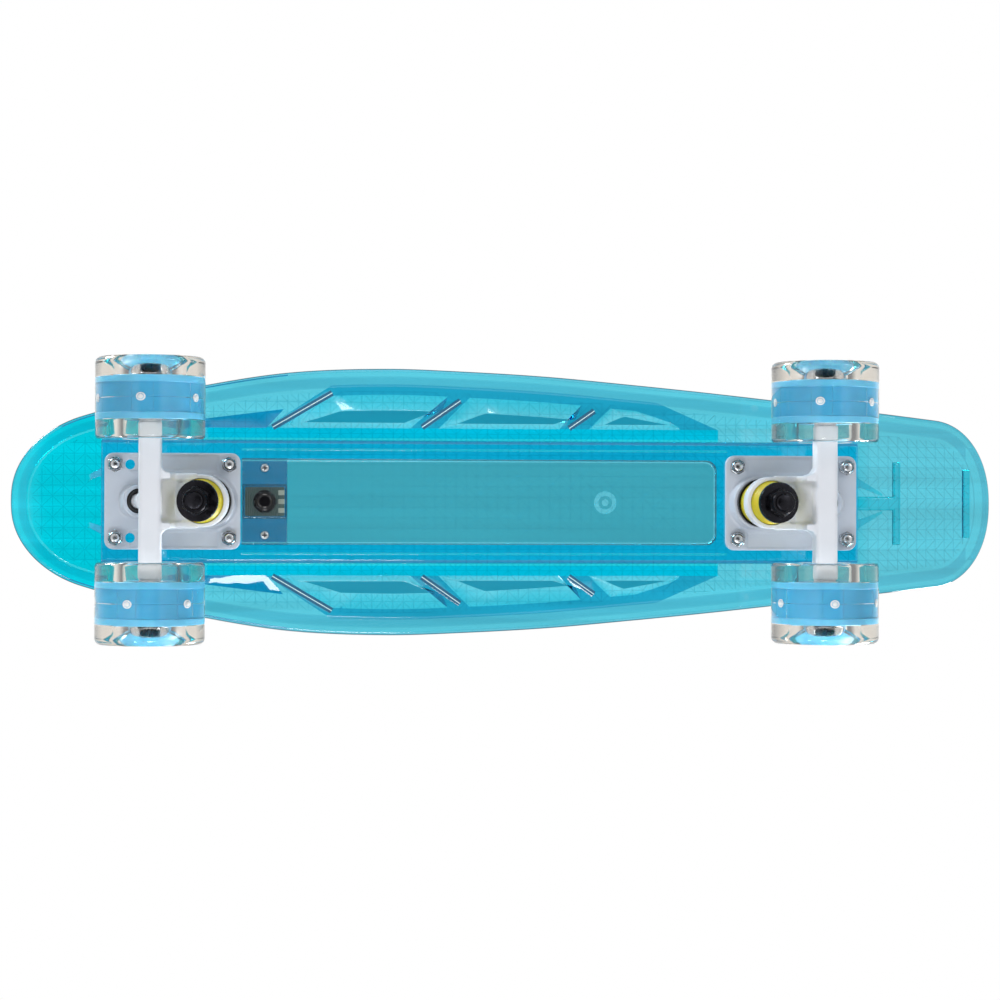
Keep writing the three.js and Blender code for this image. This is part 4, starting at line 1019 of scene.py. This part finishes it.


# Nylon, moulded light blue and slightly translucent. Its thin flanges are painted paler than the band between
# them: painted light for the light through the thin nylon, and painted shade in the band
def coreNylon():
    material, tree = newTree("nylonLightBlue")
    place = addNode(tree, "ShaderNodeTexCoord")
    cloud = addNode(tree, "ShaderNodeTexNoise", {
        "Vector": place.outputs["Object"], "Scale": scaleFor(6.25), "Detail": 3.0})
    # the paler tone on the flanges is painted light, the darker tone on the band painted shade
    flange, band = (addNode(tree, "ShaderNodeMix", {
        "Factor": cloud.outputs["Fac"], 6: linear(low), 7: linear(high)}, data_type="RGBA")
        for low, high in (("#52B2DC", "#64C0E8"), ("#3298C4", "#40A6D6")))
    # the band is where the distance from the board's middle is that of the wheel, give or take its half width
    split = addNode(tree, "ShaderNodeSeparateXYZ", {"Vector": place.outputs["Object"]})
    across = addNode(tree, "ShaderNodeMath", {0: split.outputs["Y"]}, operation="ABSOLUTE")
    bandHalf = wheel["coreHalf"] - wheel["flange"]
    atBand = addNode(tree, "ShaderNodeMath", {
        0: across.outputs[0], 1: wheel["track"] / 2 * mm, 2: bandHalf * mm}, operation="COMPARE")
    colour = addNode(tree, "ShaderNodeMix", {
        "Factor": atBand.outputs[0], 6: flange.outputs[2], 7: band.outputs[2]}, data_type="RGBA")
    shader = addNode(tree, "ShaderNodeBsdfPrincipled", {
        "Base Color": colour.outputs[2], "Roughness": 0.35,
        "Subsurface Weight": 0.3, "Subsurface Scale": 0.004})
    addNode(tree, "ShaderNodeOutputMaterial", {"Surface": shader.outputs[0]})
    return material


# Epoxy over a light chip: pale, from greyish to white, and glossy; its white is partly the lens's own colour
# and partly a painted highlight for the glints on it
def chipResin():
    return worn("epoxyPale", ("#C8CCD6", "#FFFFFF"), 0.0, (0.1, 0.25), 1.111)


# Bearing steel, ground rings with a brushed shield between them
def bearingSteel():
    material, tree = newTree("steelGround")
    place = addNode(tree, "ShaderNodeTexCoord")
    grain = addNode(tree, "ShaderNodeTexNoise", {
        "Vector": place.outputs["Object"], "Scale": scaleFor(1.111), "Detail": 2.0})
    rough = addNode(tree, "ShaderNodeMapRange", {
        "Value": grain.outputs["Fac"], "To Min": 0.18, "To Max": 0.34})
    shader = addNode(tree, "ShaderNodeBsdfPrincipled", {
        "Base Color": linear("#C9CCD0"), "Metallic": 1.0, "Roughness": rough.outputs[0]})
    addNode(tree, "ShaderNodeOutputMaterial", {"Surface": shader.outputs[0]})
    return material


# Trucks: x is outboard from the middle of the bolt pattern, towards the deck's nearer end. Heights in the
# kingpin's stack count from its seat, along the kingpin.

truck = {
    "places": (("front", 193.65, 1), ("rear", -159.25, -1)), "mount": 73.5, "plate": 4.5,
    "plateSize": (76.0, 54.3, 5.0), "bolts": (63.5, 41.3), "spare": 55.5, "spareHole": 2.8,
    "airGap": 0.05,  # a hair's breadth under the clear deck keeps the plate in sight through it
    "plateFlat": ((-26.0, 24.0), 21.4, 4.8, 1.1, 0.9),  # ends, distance, half width, depth, rounding
    "seat": (-19.819, 63.0), "lean": 10.0, "boss": 15.0, "bossFoot": 15.8, "bossFloor": 4.0,
    "web": (7.0, 3.5), "cupWall": 2.7,
    "kingpin": 4.75, "kingpinEnd": -41.2, "kingpinHead": (14.3, 4.8), "headRoom": 8.6,
    "ball": (19.0, 63.5), "stemFoot": (12.5, 43.0), "stem": 6.5, "neck": 3.7, "ballRadius": 4.5,
    "cupBore": 4.8, "cupRadius": 6.8, "cupMouth": -2.2, "cupTop": 6.8,
    "bar": (12.5, 14.0, 3.0), "barHalf": 42.9, "armHalf": 14.0, "armRib": (1.9, 13.4), "collar": 6.0,
    "coreInner": 44.1, "axle": 4.0, "axleHalf": 77.8, "axleNut": (68.3, 13.0, 7.0, 1.0),
    "threads": (14.0, 12.0, 1.25),  # length on the kingpin and on the axle, and pitch
    "sleeve": (6.6, 0.3),  # radius and chamfer
    "ring": (14.7, -13.0, -20.0), "ringSeat": 12.7, "ringHole": 8.35, "seats": (-14.5, -18.5),
    "washerTop": (-0.2, -3.2), "washerLow": (-31.9, -28.9), "washerWall": (1.0, 1.5, 0.3),
    "bushingTop": (-1.9, -14.3), "bushingLow": (-18.7, -30.2), "bushing": (12.4, 9.9),
    "bushingRibs": (6, 0.18, 0.8),  # count, depth, and rounding of the ends
    "nut": (-32.1, -39.6, 14.3),
    "bolt": (2.5, 4.6, 8.0, 5.0),  # radius, head's radius, nut's flats and height
    # heights on the kingpin of each bushing's two ends, at the board and at the hanger, given with its body
    # names; the piece is left unattached
    "bushingEnds": {"upper_bushing": (-1.9, -14.3), "lower_bushing": (-30.2, -18.7)},
}


def truckMatrix(x, facing):
    return Matrix.Translation((x, 0, 0)) @ Matrix.Rotation(0 if facing > 0 else pi, 4, "Z")


def stackMatrix():
    x, z = truck["seat"]
    return Matrix.Translation((x, 0, z)) @ Matrix.Rotation(-radians(truck["lean"]), 4, "Y")


def pivotMatrix():
    (x, z), (footX, footZ) = truck["ball"], truck["stemFoot"]
    return Matrix.Translation((x, 0, z)) @ Matrix.Rotation(atan2(x - footX, z - footZ), 4, "Y")


def onTruckAxle():
    place = Matrix.Translation((wheel["axleOutset"], 0, wheel["axleHeight"]))
    return place @ Matrix.Rotation(-pi / 2, 4, "X")


def basePlateMesh():
    t, stack, pivot = truck, stackMatrix(), pivotMatrix()
    length, width, corner = t["plateSize"]
    top, under = t["mount"], t["mount"] - t["plate"]
    plate = bar((-length / 2, length / 2), (-width / 2, width / 2), (under, top - t["airGap"]))
    roundEdges(plate, [e for e in plate.edges if span(e, 2) > 1], corner, 6)
    bossTop = (top - t["seat"][1]) / cos(radians(t["lean"])) + 2
    webHalf, webDepth = t["web"]
    webStart = t["seat"][0] + t["boss"] - 3.5
    shapes = [scratch(plate), moved(scratch(post(t["boss"], 0, bossTop, 64, t["bossFoot"])), stack),
              moved(scratch(post(t["cupRadius"] + t["cupWall"], t["cupMouth"], t["cupTop"], 48)), pivot),
              scratch(bar((webStart, t["ball"][0]), (-webHalf, webHalf), (under - webDepth, top - 2)))]
    ends, distance, half, depth, rounding = t["plateFlat"]
    flats = []
    for side in (1, -1):
        flat = bar(ends, (side * distance - half, side * distance + half), (under - 2, under + depth))
        flats.append(scratch(roundEdges(flat, sharpEdges(flat), rounding, 2)))
    body = cast(combined(joined(shapes), flats, "DIFFERENCE"), 3)
    above = scratch(bar((-length, length), (-width, width), (top, top + 30)))
    places = sorted(boltPlaces(), reverse=True)
    patternLength, patternWidth = t["bolts"]
    places += [(t["spare"] - patternLength / 2, side * patternWidth / 2) for side in (1, -1)]
    holes = [scratch(post(t["spareHole"], under - 3, top + 3, 24, place=place)) for place in places]
    cupRoom = t["cupRadius"] + 0.3
    cuts = [moved(scratch(post(t["headRoom"], t["bossFloor"], bossTop + 4, 48)), stack),
            moved(scratch(post(t["kingpin"] + 0.3, -2, bossTop + 2, 48)), stack),
            moved(scratch(post(cupRoom, t["cupMouth"] - 2, t["cupTop"] + 0.3, 48)), pivot),
            moved(scratch(post(t["boss"] + 3.5, -3.5, 0, 48)), stack)]
    return takenMesh(combined(body, [above] + cuts + holes, "DIFFERENCE"))


def hangerMesh():
    t, stack = truck, stackMatrix()
    width, height, corner = t["bar"]
    ringRadius, ringTop, ringUnder = t["ring"]
    x, z = wheel["axleOutset"], wheel["axleHeight"]
    inner, outer = x - width / 2, x + width / 2
    beam = bar((inner, outer), (-t["barHalf"], t["barHalf"]), (z - height / 2, z + height / 2))
    roundEdges(beam, [e for e in beam.edges if span(e, 1) > 1], corner, 4)
    centre = (stack @ Vector((0, 0, (ringTop + ringUnder) / 2))).x
    armStart = centre + ringRadius
    footX, footZ = t["stemFoot"]

    def level(depth, at):
        # the height at x of a plane across the kingpin
        point = stack @ Vector((0, 0, depth))
        return point.z + (at - point.x) * tan(radians(t["lean"]))

    arm = sidePrism([
        (centre, level(ringUnder + 1, centre)), (armStart, level(ringUnder + 1, armStart)),
        (inner + 1, z + 5), (inner + 1, z - 4), (outer - 0.5, z - 4), (outer - 0.5, footZ + 1),
        (footX - 3, level(ringUnder, armStart) + 4), (armStart, level(ringTop, armStart)),
        (centre, level(ringTop, centre))], t["armHalf"])
    ribHalf, ribPlace = t["armRib"]
    rib = [(centre + 3, level(ringUnder - 0.6, centre + 3)), (armStart, level(ringUnder - 1, armStart)),
           (inner - 1, z + 2), (inner + 2, z - 6), (inner + 5, z - 6), (inner + 5, z + 12),
           (armStart, level(ringTop, armStart)), (centre + 3, level(ringTop, centre + 3))]
    ribs = [sidePrism(rib, ribHalf, side * ribPlace) for side in (1, -1)]
    gusset = [(inner - 5, 12), (inner - 5, 15.2), (inner - 1.5, 16.2), (inner + 1, 20), (outer - 1, 20),
              (outer - 1, 12)]
    gussets = [scratch(outlinePrism([(a, side * b) for a, b in gusset], z - 5, z + 9)) for side in (1, -1)]
    stemLength = hypot(t["ball"][0] - footX, t["ball"][1] - footZ)
    waist = -sqrt(t["ballRadius"] ** 2 - t["neck"] ** 2)
    stem = turned([(0, -stemLength - 6), (t["stem"] + 1.5, -stemLength - 4), (t["stem"], -stemLength + 3),
                   (t["neck"] + 0.2, waist - 2), (t["neck"], waist)]
                  + arcPoints((0, 0), t["ballRadius"], -56, 88, 8) + [(0, t["ballRadius"])], 48)
    ring = moved(scratch(post(ringRadius, ringUnder, ringTop, 64)), stack)
    shapes = [scratch(beam), arm, ring] + ribs + gussets + [moved(scratch(stem), pivotMatrix())]
    body = cast(joined(shapes), 4)
    reach = t["barHalf"] + 1
    collars = moved(scratch(post(t["collar"], -reach, reach, 48)), onTruckAxle())
    body = combined(body, [collars], "UNION")
    upperSeat, lowerSeat = t["seats"]
    inStack = [post(t["ringHole"], ringUnder - 3, ringTop + 3, 48),
               post(t["ringSeat"], upperSeat, ringTop + 3, 64),
               post(t["ringSeat"], ringUnder - 4, lowerSeat, 64)]
    bore = post(t["axle"] + 0.3, -t["coreInner"], t["coreInner"], 32)
    cuts = [moved(scratch(bm), stack) for bm in inStack] + [moved(scratch(bore), onTruckAxle())]
    return takenMesh(combined(body, cuts, "DIFFERENCE"))


def washerMesh(lipRadius, base, lipEnd):
    direction = 1 if lipEnd > base else -1
    wall, floorWall, chamfer = truck["washerWall"][0], direction * truck["washerWall"][1], 0.5
    bore, outer, floor = truck["kingpin"] + 0.3, lipRadius + wall, base + floorWall
    return meshOf(turned([(bore, base), (outer - chamfer, base), (outer, base + direction * chamfer),
                          (outer, lipEnd), (lipRadius, lipEnd), (lipRadius, floor), (bore, floor)], 64))


def bushingMesh(top, bottom, topRadius, bottomRadius):
    count, depth, rounding = truck["bushingRibs"]
    bore, height = truck["kingpin"] + 0.3, top - bottom - 2 * rounding
    profile = [(bore, bottom), (bottomRadius - rounding, bottom), (bottomRadius, bottom + rounding)]
    for i in range(1, count):
        # fine moulded ribs round the rubber
        share = i / count
        radius = bottomRadius + (topRadius - bottomRadius) * share
        z = bottom + rounding + height * share
        profile += [(radius, z - height / count * 0.3), (radius - depth, z),
                    (radius, z + height / count * 0.3)]
    profile += [(topRadius, top - rounding), (topRadius - rounding, top), (bore, top)]
    return meshOf(turned(profile, 64))


def kingpinMesh():
    t = truck
    flats, height = t["kingpinHead"]
    under = t["bossFloor"] + 0.2
    shaft = threaded(t["kingpin"], t["kingpinEnd"], t["kingpinEnd"] + t["threads"][0], t["threads"][2])
    shaft += [(t["kingpin"], under + 2), (0, under + 2)]
    return takenMesh(combined(hexBlock(flats, under, under + height), [scratch(turned(shaft, 48))], "UNION"))


def lockNutMesh(acrossFlats, bore, bottom, top, collar):
    # a hex body with a round crown that holds a nylon ring
    crown, flat = (top - bottom) * 0.28, acrossFlats / 2
    ring = turned([(0, bottom), (flat - 1.3, bottom), (flat - 0.4, bottom + 0.9), (flat - 0.4, top - 1),
                   (0, top - 1)], 48)
    shapes = [hexBlock(acrossFlats, bottom + crown, top), scratch(ring)]
    if collar:
        shapes.append(scratch(post(collar, top - 1, top + 1, 48)))
    mouth = bore + 1.3
    recess = turned([(0, bottom - 1), (mouth, bottom - 1), (mouth, bottom + 0.5), (0, bottom + 0.5)], 48)
    cuts = [scratch(post(bore, bottom - 5, top + 5, 32)), scratch(recess)]
    return takenMesh(combined(joined(shapes), cuts, "DIFFERENCE"))


def truckBoltMesh():
    radius, head, nutFlats, nutHeight = truck["bolt"]
    top, nutTop = deck["top"] - 0.3, truck["mount"] - truck["plate"] - 0.3
    nutBottom = nutTop - nutHeight
    shaft = threaded(radius, nutBottom - 1.5, nutBottom + 1, 0.6, 0.4)
    shaft += [(radius, top - 2.6), (head, top - 0.2), (head - 0.2, top), (0, top)]
    nut = hexBlock(nutFlats, nutBottom + 1.2, nutTop, 0.6)
    crown = turned([(0, nutBottom), (3.1, nutBottom), (3.6, nutBottom + 0.6), (3.6, nutTop - 1),
                    (0, nutTop - 1)], 32)
    body = joined([scratch(turned(shaft, 32)), nut, scratch(crown)])
    groove = turned([(radius, nutBottom - 1), (radius + 0.5, nutBottom - 1), (radius + 0.5, nutBottom + 0.5),
                     (radius, nutBottom + 0.5)], 32)
    cuts = [scratch(groove)] + crossRecess(2.4, 0.5, top - 1.6, top + 1)
    return takenMesh(combined(body, cuts, "DIFFERENCE"))


def axleMesh():
    half, radius = truck["axleHalf"], truck["axle"]
    end = threaded(radius, -half, -half + truck["threads"][1], truck["threads"][2])
    return meshOf(turned(end + [(radius, 0)] + flipped(end), 48))


def cupMesh():
    t = truck
    bore, outer, mouth, top = t["cupBore"], t["cupRadius"], t["cupMouth"], t["cupTop"]
    profile = [(0, top), (outer - 0.6, top), (outer, top - 0.6), (outer, mouth + 0.4), (outer - 0.4, mouth),
               (bore + 0.3, mouth), (bore, mouth + 0.3)] + arcPoints((0, 0), bore, 0, 90, 8)
    return meshOf(turned(profile, 48))


def sleeveMesh():
    half, bore = wheel["coreHalf"] - wheel["bearingWidth"] - 0.2, truck["axle"] + 0.3
    radius, chamfer = truck["sleeve"]
    return meshOf(turned([(bore, -half), (radius - chamfer, -half), (radius, chamfer - half),
                          (radius, half - chamfer), (radius - chamfer, half), (bore, half)], 48))


def buildTrucks():
    t, stack, pivot, whole = truck, stackMatrix(), pivotMatrix(), Matrix()
    (upTop, upBottom), (lowTop, lowBottom) = t["bushingTop"], t["bushingLow"]
    wide, tip = t["bushing"]
    nutTop, nutBottom, nutFlats = t["nut"]
    white = powderCoat("powderCoatWhite", ("#DEE2EA", "#E6EAF2"))
    # the base plates take the same white paint, painted greyer: painted shade
    shadedWhite = powderCoat("powderCoatWhitePaintedShade", ("#BCC4D0", "#CCD4E0"))
    black, rubber, zinc, plastic = blackenedSteel(), yellowUrethane(), zincSteel(), blackNylon()
    wallDepth, lipGap = t["washerWall"][1:]
    lowLip = tip + (wide - tip) / (lowTop - lowBottom) * wallDepth + lipGap
    innerNut, nutWidth, nutHeight, collarLength = t["axleNut"]
    kingpinNut = lockNutMesh(nutFlats, t["kingpin"] + 0.3, nutBottom, nutTop, 0)
    parts = [
        # name, mesh, place, whether it leans with the hanger, slot, material
        ("base_plate", basePlateMesh(), whole, False, "white_paint", shadedWhite),
        ("pivot_cup", cupMesh(), pivot, False, "black_plastic", plastic),
        ("kingpin", kingpinMesh(), stack, False, "black_steel", black),
        ("upper_washer", washerMesh(wide + lipGap, *t["washerTop"]), stack, False, "black_steel", black),
        ("lower_washer", washerMesh(lowLip, *t["washerLow"]), stack, False, "black_steel", black),
        ("kingpin_nut", kingpinNut, stack, False, "black_steel", black),
        ("upper_bushing", bushingMesh(upTop, upBottom, wide, wide), stack, False, "yellow_urethane", rubber),
        ("lower_bushing", bushingMesh(lowTop, lowBottom, wide, tip), stack, False, "yellow_urethane", rubber),
        ("hanger", hangerMesh(), whole, True, "white_paint", white),
        ("axle", axleMesh(), onTruckAxle(), True, "zinc_steel", zinc),
    ]
    bolt = truckBoltMesh()
    for i, (x, y) in enumerate(boltPlaces()):
        parts.append((f"bolt_{i + 1}", bolt, Matrix.Translation((x, y, 0)), False, "zinc_steel", zinc))
    sleeve = sleeveMesh()
    nut = lockNutMesh(nutWidth, t["axle"] + 0.3, -nutHeight - collarLength, -collarLength, t["collar"])
    onAxle = Matrix.Translation((0, 0, innerNut - wheel["track"] / 2)) @ Matrix.Rotation(pi, 4, "X")
    for end, x, facing in t["places"]:
        place, lean = truckMatrix(x, facing), f"{end}_truck"
        for name, mesh, local, leans, slotName, material in parts:
            node = f"{end}_{name}"
            body = lean if leans else "board"
            if name in t["bushingEnds"]:
                ends = [place @ stack @ Vector((0, 0, z)) * mm for z in t["bushingEnds"][name]]
                body = ("board", lean, *ends)
            finishPiece(f"{node}_look", mesh.copy(), place @ local, body, [node], material)
        for side in (1, -1):
            hand = f"{end}_{'left' if side * facing > 0 else 'right'}"
            outward = place @ axleMatrix(side)
            finishPiece(f"{hand}_sleeve_look", sleeve.copy(), outward, lean, [f"{hand}_magnet_sleeve"],
                        black)
            finishPiece(f"{hand}_nut_look", nut.copy(), outward @ onAxle, lean, [f"{hand}_axle_nut"],
                        black)


# Powder coat on cast aluminium: white, satin, with a faint orange-peel
def powderCoat(name, colours):
    material, tree = newTree(name)
    place = addNode(tree, "ShaderNodeTexCoord")
    peel = addNode(tree, "ShaderNodeTexNoise", {
        "Vector": place.outputs["Object"], "Scale": scaleFor(1.429), "Detail": 2.0})
    bump = addNode(tree, "ShaderNodeBump", {
        "Height": peel.outputs["Fac"], "Strength": 0.15, "Distance": 0.0003})
    cloud = addNode(tree, "ShaderNodeTexNoise", {
        "Vector": place.outputs["Object"], "Scale": scaleFor(16.7), "Detail": 3.0})
    colour = addNode(tree, "ShaderNodeMix", {
        "Factor": cloud.outputs["Fac"], 6: linear(colours[0]), 7: linear(colours[1])}, data_type="RGBA")
    shader = addNode(tree, "ShaderNodeBsdfPrincipled", {
        "Base Color": colour.outputs[2], "Roughness": 0.38, "Normal": bump.outputs[0]})
    addNode(tree, "ShaderNodeOutputMaterial", {"Surface": shader.outputs[0]})
    return material


# Blackened steel: oxide with oil on it
def blackenedSteel():
    return worn("steelBlackened", ("#0C0C10", "#2A2A31"), 0.8, (0.14, 0.38), 3.33)


# Zinc-plated steel, bright with a clear passivation
def zincSteel():
    return worn("steelZincPlated", ("#B9BDC2", "#DADDE0"), 1.0, (0.18, 0.32), 2.5)


# Nylon, moulded black: dull
def blackNylon():
    return worn("nylonBlack", ("#121214", "#1D1D20"), 0.0, (0.4, 0.55), 4.0)


# Urethane rubber, poured yellow and slightly translucent
def yellowUrethane():
    return worn("urethaneYellow", ("#C6BA22", "#DCCF3C"), 0.0, (0.35, 0.5), 5.56,
                {"Subsurface Weight": 0.3, "Subsurface Scale": 0.003})


# Light module: a clear smoked cover on two screws, with a push button, a circuit board and a coin cell in it

light = {
    "x": 142.05, "mount": 73.5, "length": 25.4, "width": 49.4, "thickness": 2.0, "plateRound": 0.5,
    "box": 19.6, "boxFace": 69.0, "boxRound": 1.0, "top": 78.6, "wall": 1.2,
    "screwSpread": 19.0, "screwPost": 3.0, "screwHead": (2.3, 1.2), "screw": 1.1, "screwTip": 81.0,
    "button": 5.5, "buttonFace": 68.0, "buttonFlange": (6.5, 70.4, 71.4),
    # rings in the button's face: radii, and heights over the face
    "buttonRings": ((0, 0.3), (1.0, 0.1), (2.0, 0.35), (3.0, 0.1), (3.6, 0.4), (4.2, 0.0), (5.0, 0.1)),
    "board": (73.7, 74.7), "boardCorner": 0.8, "switchUnder": 72.4, "switch": 6.0,
    "cell": (8.0, 74.9, 77.9), "cellStep": (1.2, 0.5),  # the small pole's step: width and height
    "lamps": 3, "lampPitch": 5.0, "lampSize": (3.5, 2.8, 1.4),
}


def coverMesh():
    m, half, side = light, light["length"] / 2, light["width"] / 2
    boxHalf, wall, top, face = m["box"] / 2, m["wall"], m["top"], m["boxFace"]
    plate = bar((-half, half), (-side, side), (m["mount"], m["mount"] + m["thickness"]))
    roundEdges(plate, sharpEdges(plate), m["plateRound"], 3)
    box = bar((-half, half), (-boxHalf, boxHalf), (face, top))
    lower = [e for e in sharpEdges(box) if not all(v.co.z > top - 0.1 for v in e.verts)]
    roundEdges(box, lower, m["boxRound"], 4)
    screws = [(0, s * m["screwSpread"]) for s in (1, -1)]
    posts = [scratch(post(m["screwPost"], m["mount"] + 1, top, 32, place=place)) for place in screws]
    cavity = bar((wall - half, half - wall), (wall - boxHalf, boxHalf - wall), (face + wall, top + 5))
    cuts = [scratch(cavity), scratch(post(m["button"] + 0.3, face - 2, face + 3, 48))]
    cuts += [scratch(post(m["screw"] + 0.3, m["mount"] - 3, top + 3, 24, place=place)) for place in screws]
    return takenMesh(combined(joined([scratch(plate), scratch(box)] + posts), cuts, "DIFFERENCE"))


def buttonMesh():
    m, face = light, light["buttonFace"]
    radius, under, top = m["buttonFlange"]
    profile = [(r, face + height) for r, height in m["buttonRings"]]
    profile += [(m["button"], face + 0.6), (m["button"], under), (radius, under), (radius, top), (0, top)]
    return meshOf(turned(profile, 64))


def boardMesh():
    m, half = light, light["length"] / 2 - light["wall"] - 0.3
    side, (under, top) = m["box"] / 2 - m["wall"] - 0.3, m["board"]
    board = bar((-half, half), (-side, side), (under, top))
    roundEdges(board, [e for e in board.edges if span(e, 2) > 0.5], m["boardCorner"], 3)
    width = m["switch"] / 2
    case = bar((-width, width), (-width, width), (m["switchUnder"], top - 0.5))
    shapes = [scratch(board), scratch(roundEdges(case, sharpEdges(case), 0.3, 2))]
    length, wide, height = m["lampSize"]
    for i in range(m["lamps"]):
        y = (i - (m["lamps"] - 1) / 2) * m["lampPitch"]
        lamp = bar((-half, length - half), (y - wide / 2, y + wide / 2), (under - height, top - 0.5))
        shapes.append(scratch(roundEdges(lamp, sharpEdges(lamp), 0.25, 2)))
    return takenMesh(joined(shapes))


def cellMesh():
    radius, under, top = light["cell"]
    step, stepHeight = light["cellStep"]
    return meshOf(turned([(0, under), (radius - step, under), (radius - step, under + stepHeight),
                          (radius, under + stepHeight + 0.1), (radius, top - 0.4), (radius - 0.4, top),
                          (0, top)], 64))


def lightScrewMesh():
    m = light
    head, height = m["screwHead"]
    under = m["mount"] - 0.2
    face = under - height
    shank = threaded(m["screw"], -m["screwTip"], -under - 0.6, 0.5, 0.5)
    profile = [(0, face), (head - 0.7, face), (head, face + 0.6), (head, under), (m["screw"], under)]
    body = scratch(turned(profile + flipped(shank), 32))
    return takenMesh(combined(body, crossRecess(1.5, 0.3, face - 1, face + 0.7), "DIFFERENCE"))


def buildLight():
    place, screw, zinc = Matrix.Translation((light["x"], 0, 0)), lightScrewMesh(), zincSteel()
    parts = [
        # name, mesh, body, node, slot, material
        ("lightCoverLook", coverMesh(), "board", "light_cover", "clear_smoke", smokedCover()),
        ("lightButtonLook", buttonMesh(), "light_push_button", "light_button", "black_plastic",
         glossyButton()),
        ("lightBoardLook", boardMesh(), "board", "light_board", "board_green", circuitBoard()),
        ("lightCellLook", cellMesh(), "board", "light_cell", "bright_steel", bearingSteel()),
    ]
    for name, mesh, body, node, slotName, material in parts:
        finishPiece(name, mesh, place, body, [node], material)
    for side, hand in ((1, "left"), (-1, "right")):
        at = place @ Matrix.Translation((0, side * light["screwSpread"], 0))
        finishPiece(f"light_screw_{hand}_look", screw.copy(), at, "board", [f"light_screw_{hand}"],
                    zinc)


# Nylon, moulded black and polished
def glossyButton():
    return worn("nylonPolishedBlack", ("#0A0A0C", "#1C1C20"), 0.0, (0.05, 0.16), 3.33)


# Polycarbonate, moulded with a little smoke: clear, and greyer the deeper it is
def smokedCover():
    material, tree = newTree("polycarbonateSmoke")
    place = addNode(tree, "ShaderNodeTexCoord")
    flow = addNode(tree, "ShaderNodeTexNoise", {
        "Vector": place.outputs["Object"], "Scale": scaleFor(8.33), "Detail": 3.0})
    rough = addNode(tree, "ShaderNodeMapRange", {
        "Value": flow.outputs["Fac"], "To Min": 0.02, "To Max": 0.09})
    shader = addNode(tree, "ShaderNodeBsdfPrincipled", {
        "Base Color": linear("#F2F6F8"), "Roughness": rough.outputs[0], "IOR": 1.585,
        "Transmission Weight": 1.0})
    tint = addNode(tree, "ShaderNodeVolumeAbsorption", {"Color": (0.62, 0.64, 0.66, 1), "Density": 300.0})
    addNode(tree, "ShaderNodeOutputMaterial", {"Surface": shader.outputs[0], "Volume": tint.outputs[0]})
    return material


# Glass-fibre board under green solder resist, with pale moulded lamps and a black switch by their place
def circuitBoard():
    material, tree = newTree("circuitBoardGreen")
    place = addNode(tree, "ShaderNodeTexCoord")
    split = addNode(tree, "ShaderNodeSeparateXYZ", {"Vector": place.outputs["Object"]})
    tracks = addNode(tree, "ShaderNodeTexWave", {
        "Vector": place.outputs["Object"], "Scale": scaleFor(3.85), "Distortion": 6.0, "Detail": 1.0})
    resist = addNode(tree, "ShaderNodeMix", {
        "Factor": tracks.outputs["Fac"], 6: linear("#4C6A5C"), 7: linear("#7E8A80")}, data_type="RGBA")
    raised = addNode(tree, "ShaderNodeMath", {
        0: split.outputs["Z"], 1: (light["board"][0] - 0.05) * mm}, operation="LESS_THAN")
    lampEdge = (light["x"] - light["switch"] / 2 - 1) * mm
    atLamps = addNode(tree, "ShaderNodeMath", {0: split.outputs["X"], 1: lampEdge}, operation="LESS_THAN")
    part = addNode(tree, "ShaderNodeMix", {
        "Factor": atLamps.outputs[0], 6: linear("#26262A"), 7: linear("#F1F0D8")}, data_type="RGBA")
    colour = addNode(tree, "ShaderNodeMix", {
        "Factor": raised.outputs[0], 6: resist.outputs[2], 7: part.outputs[2]}, data_type="RGBA")
    shader = addNode(tree, "ShaderNodeBsdfPrincipled", {"Base Color": colour.outputs[2], "Roughness": 0.4})
    addNode(tree, "ShaderNodeOutputMaterial", {"Surface": shader.outputs[0]})
    return material


buildDeck()
print("deck is made")
buildWheels()
print("wheels are made")
buildTrucks()
print("trucks are made")
buildLight()
print("light module is made")
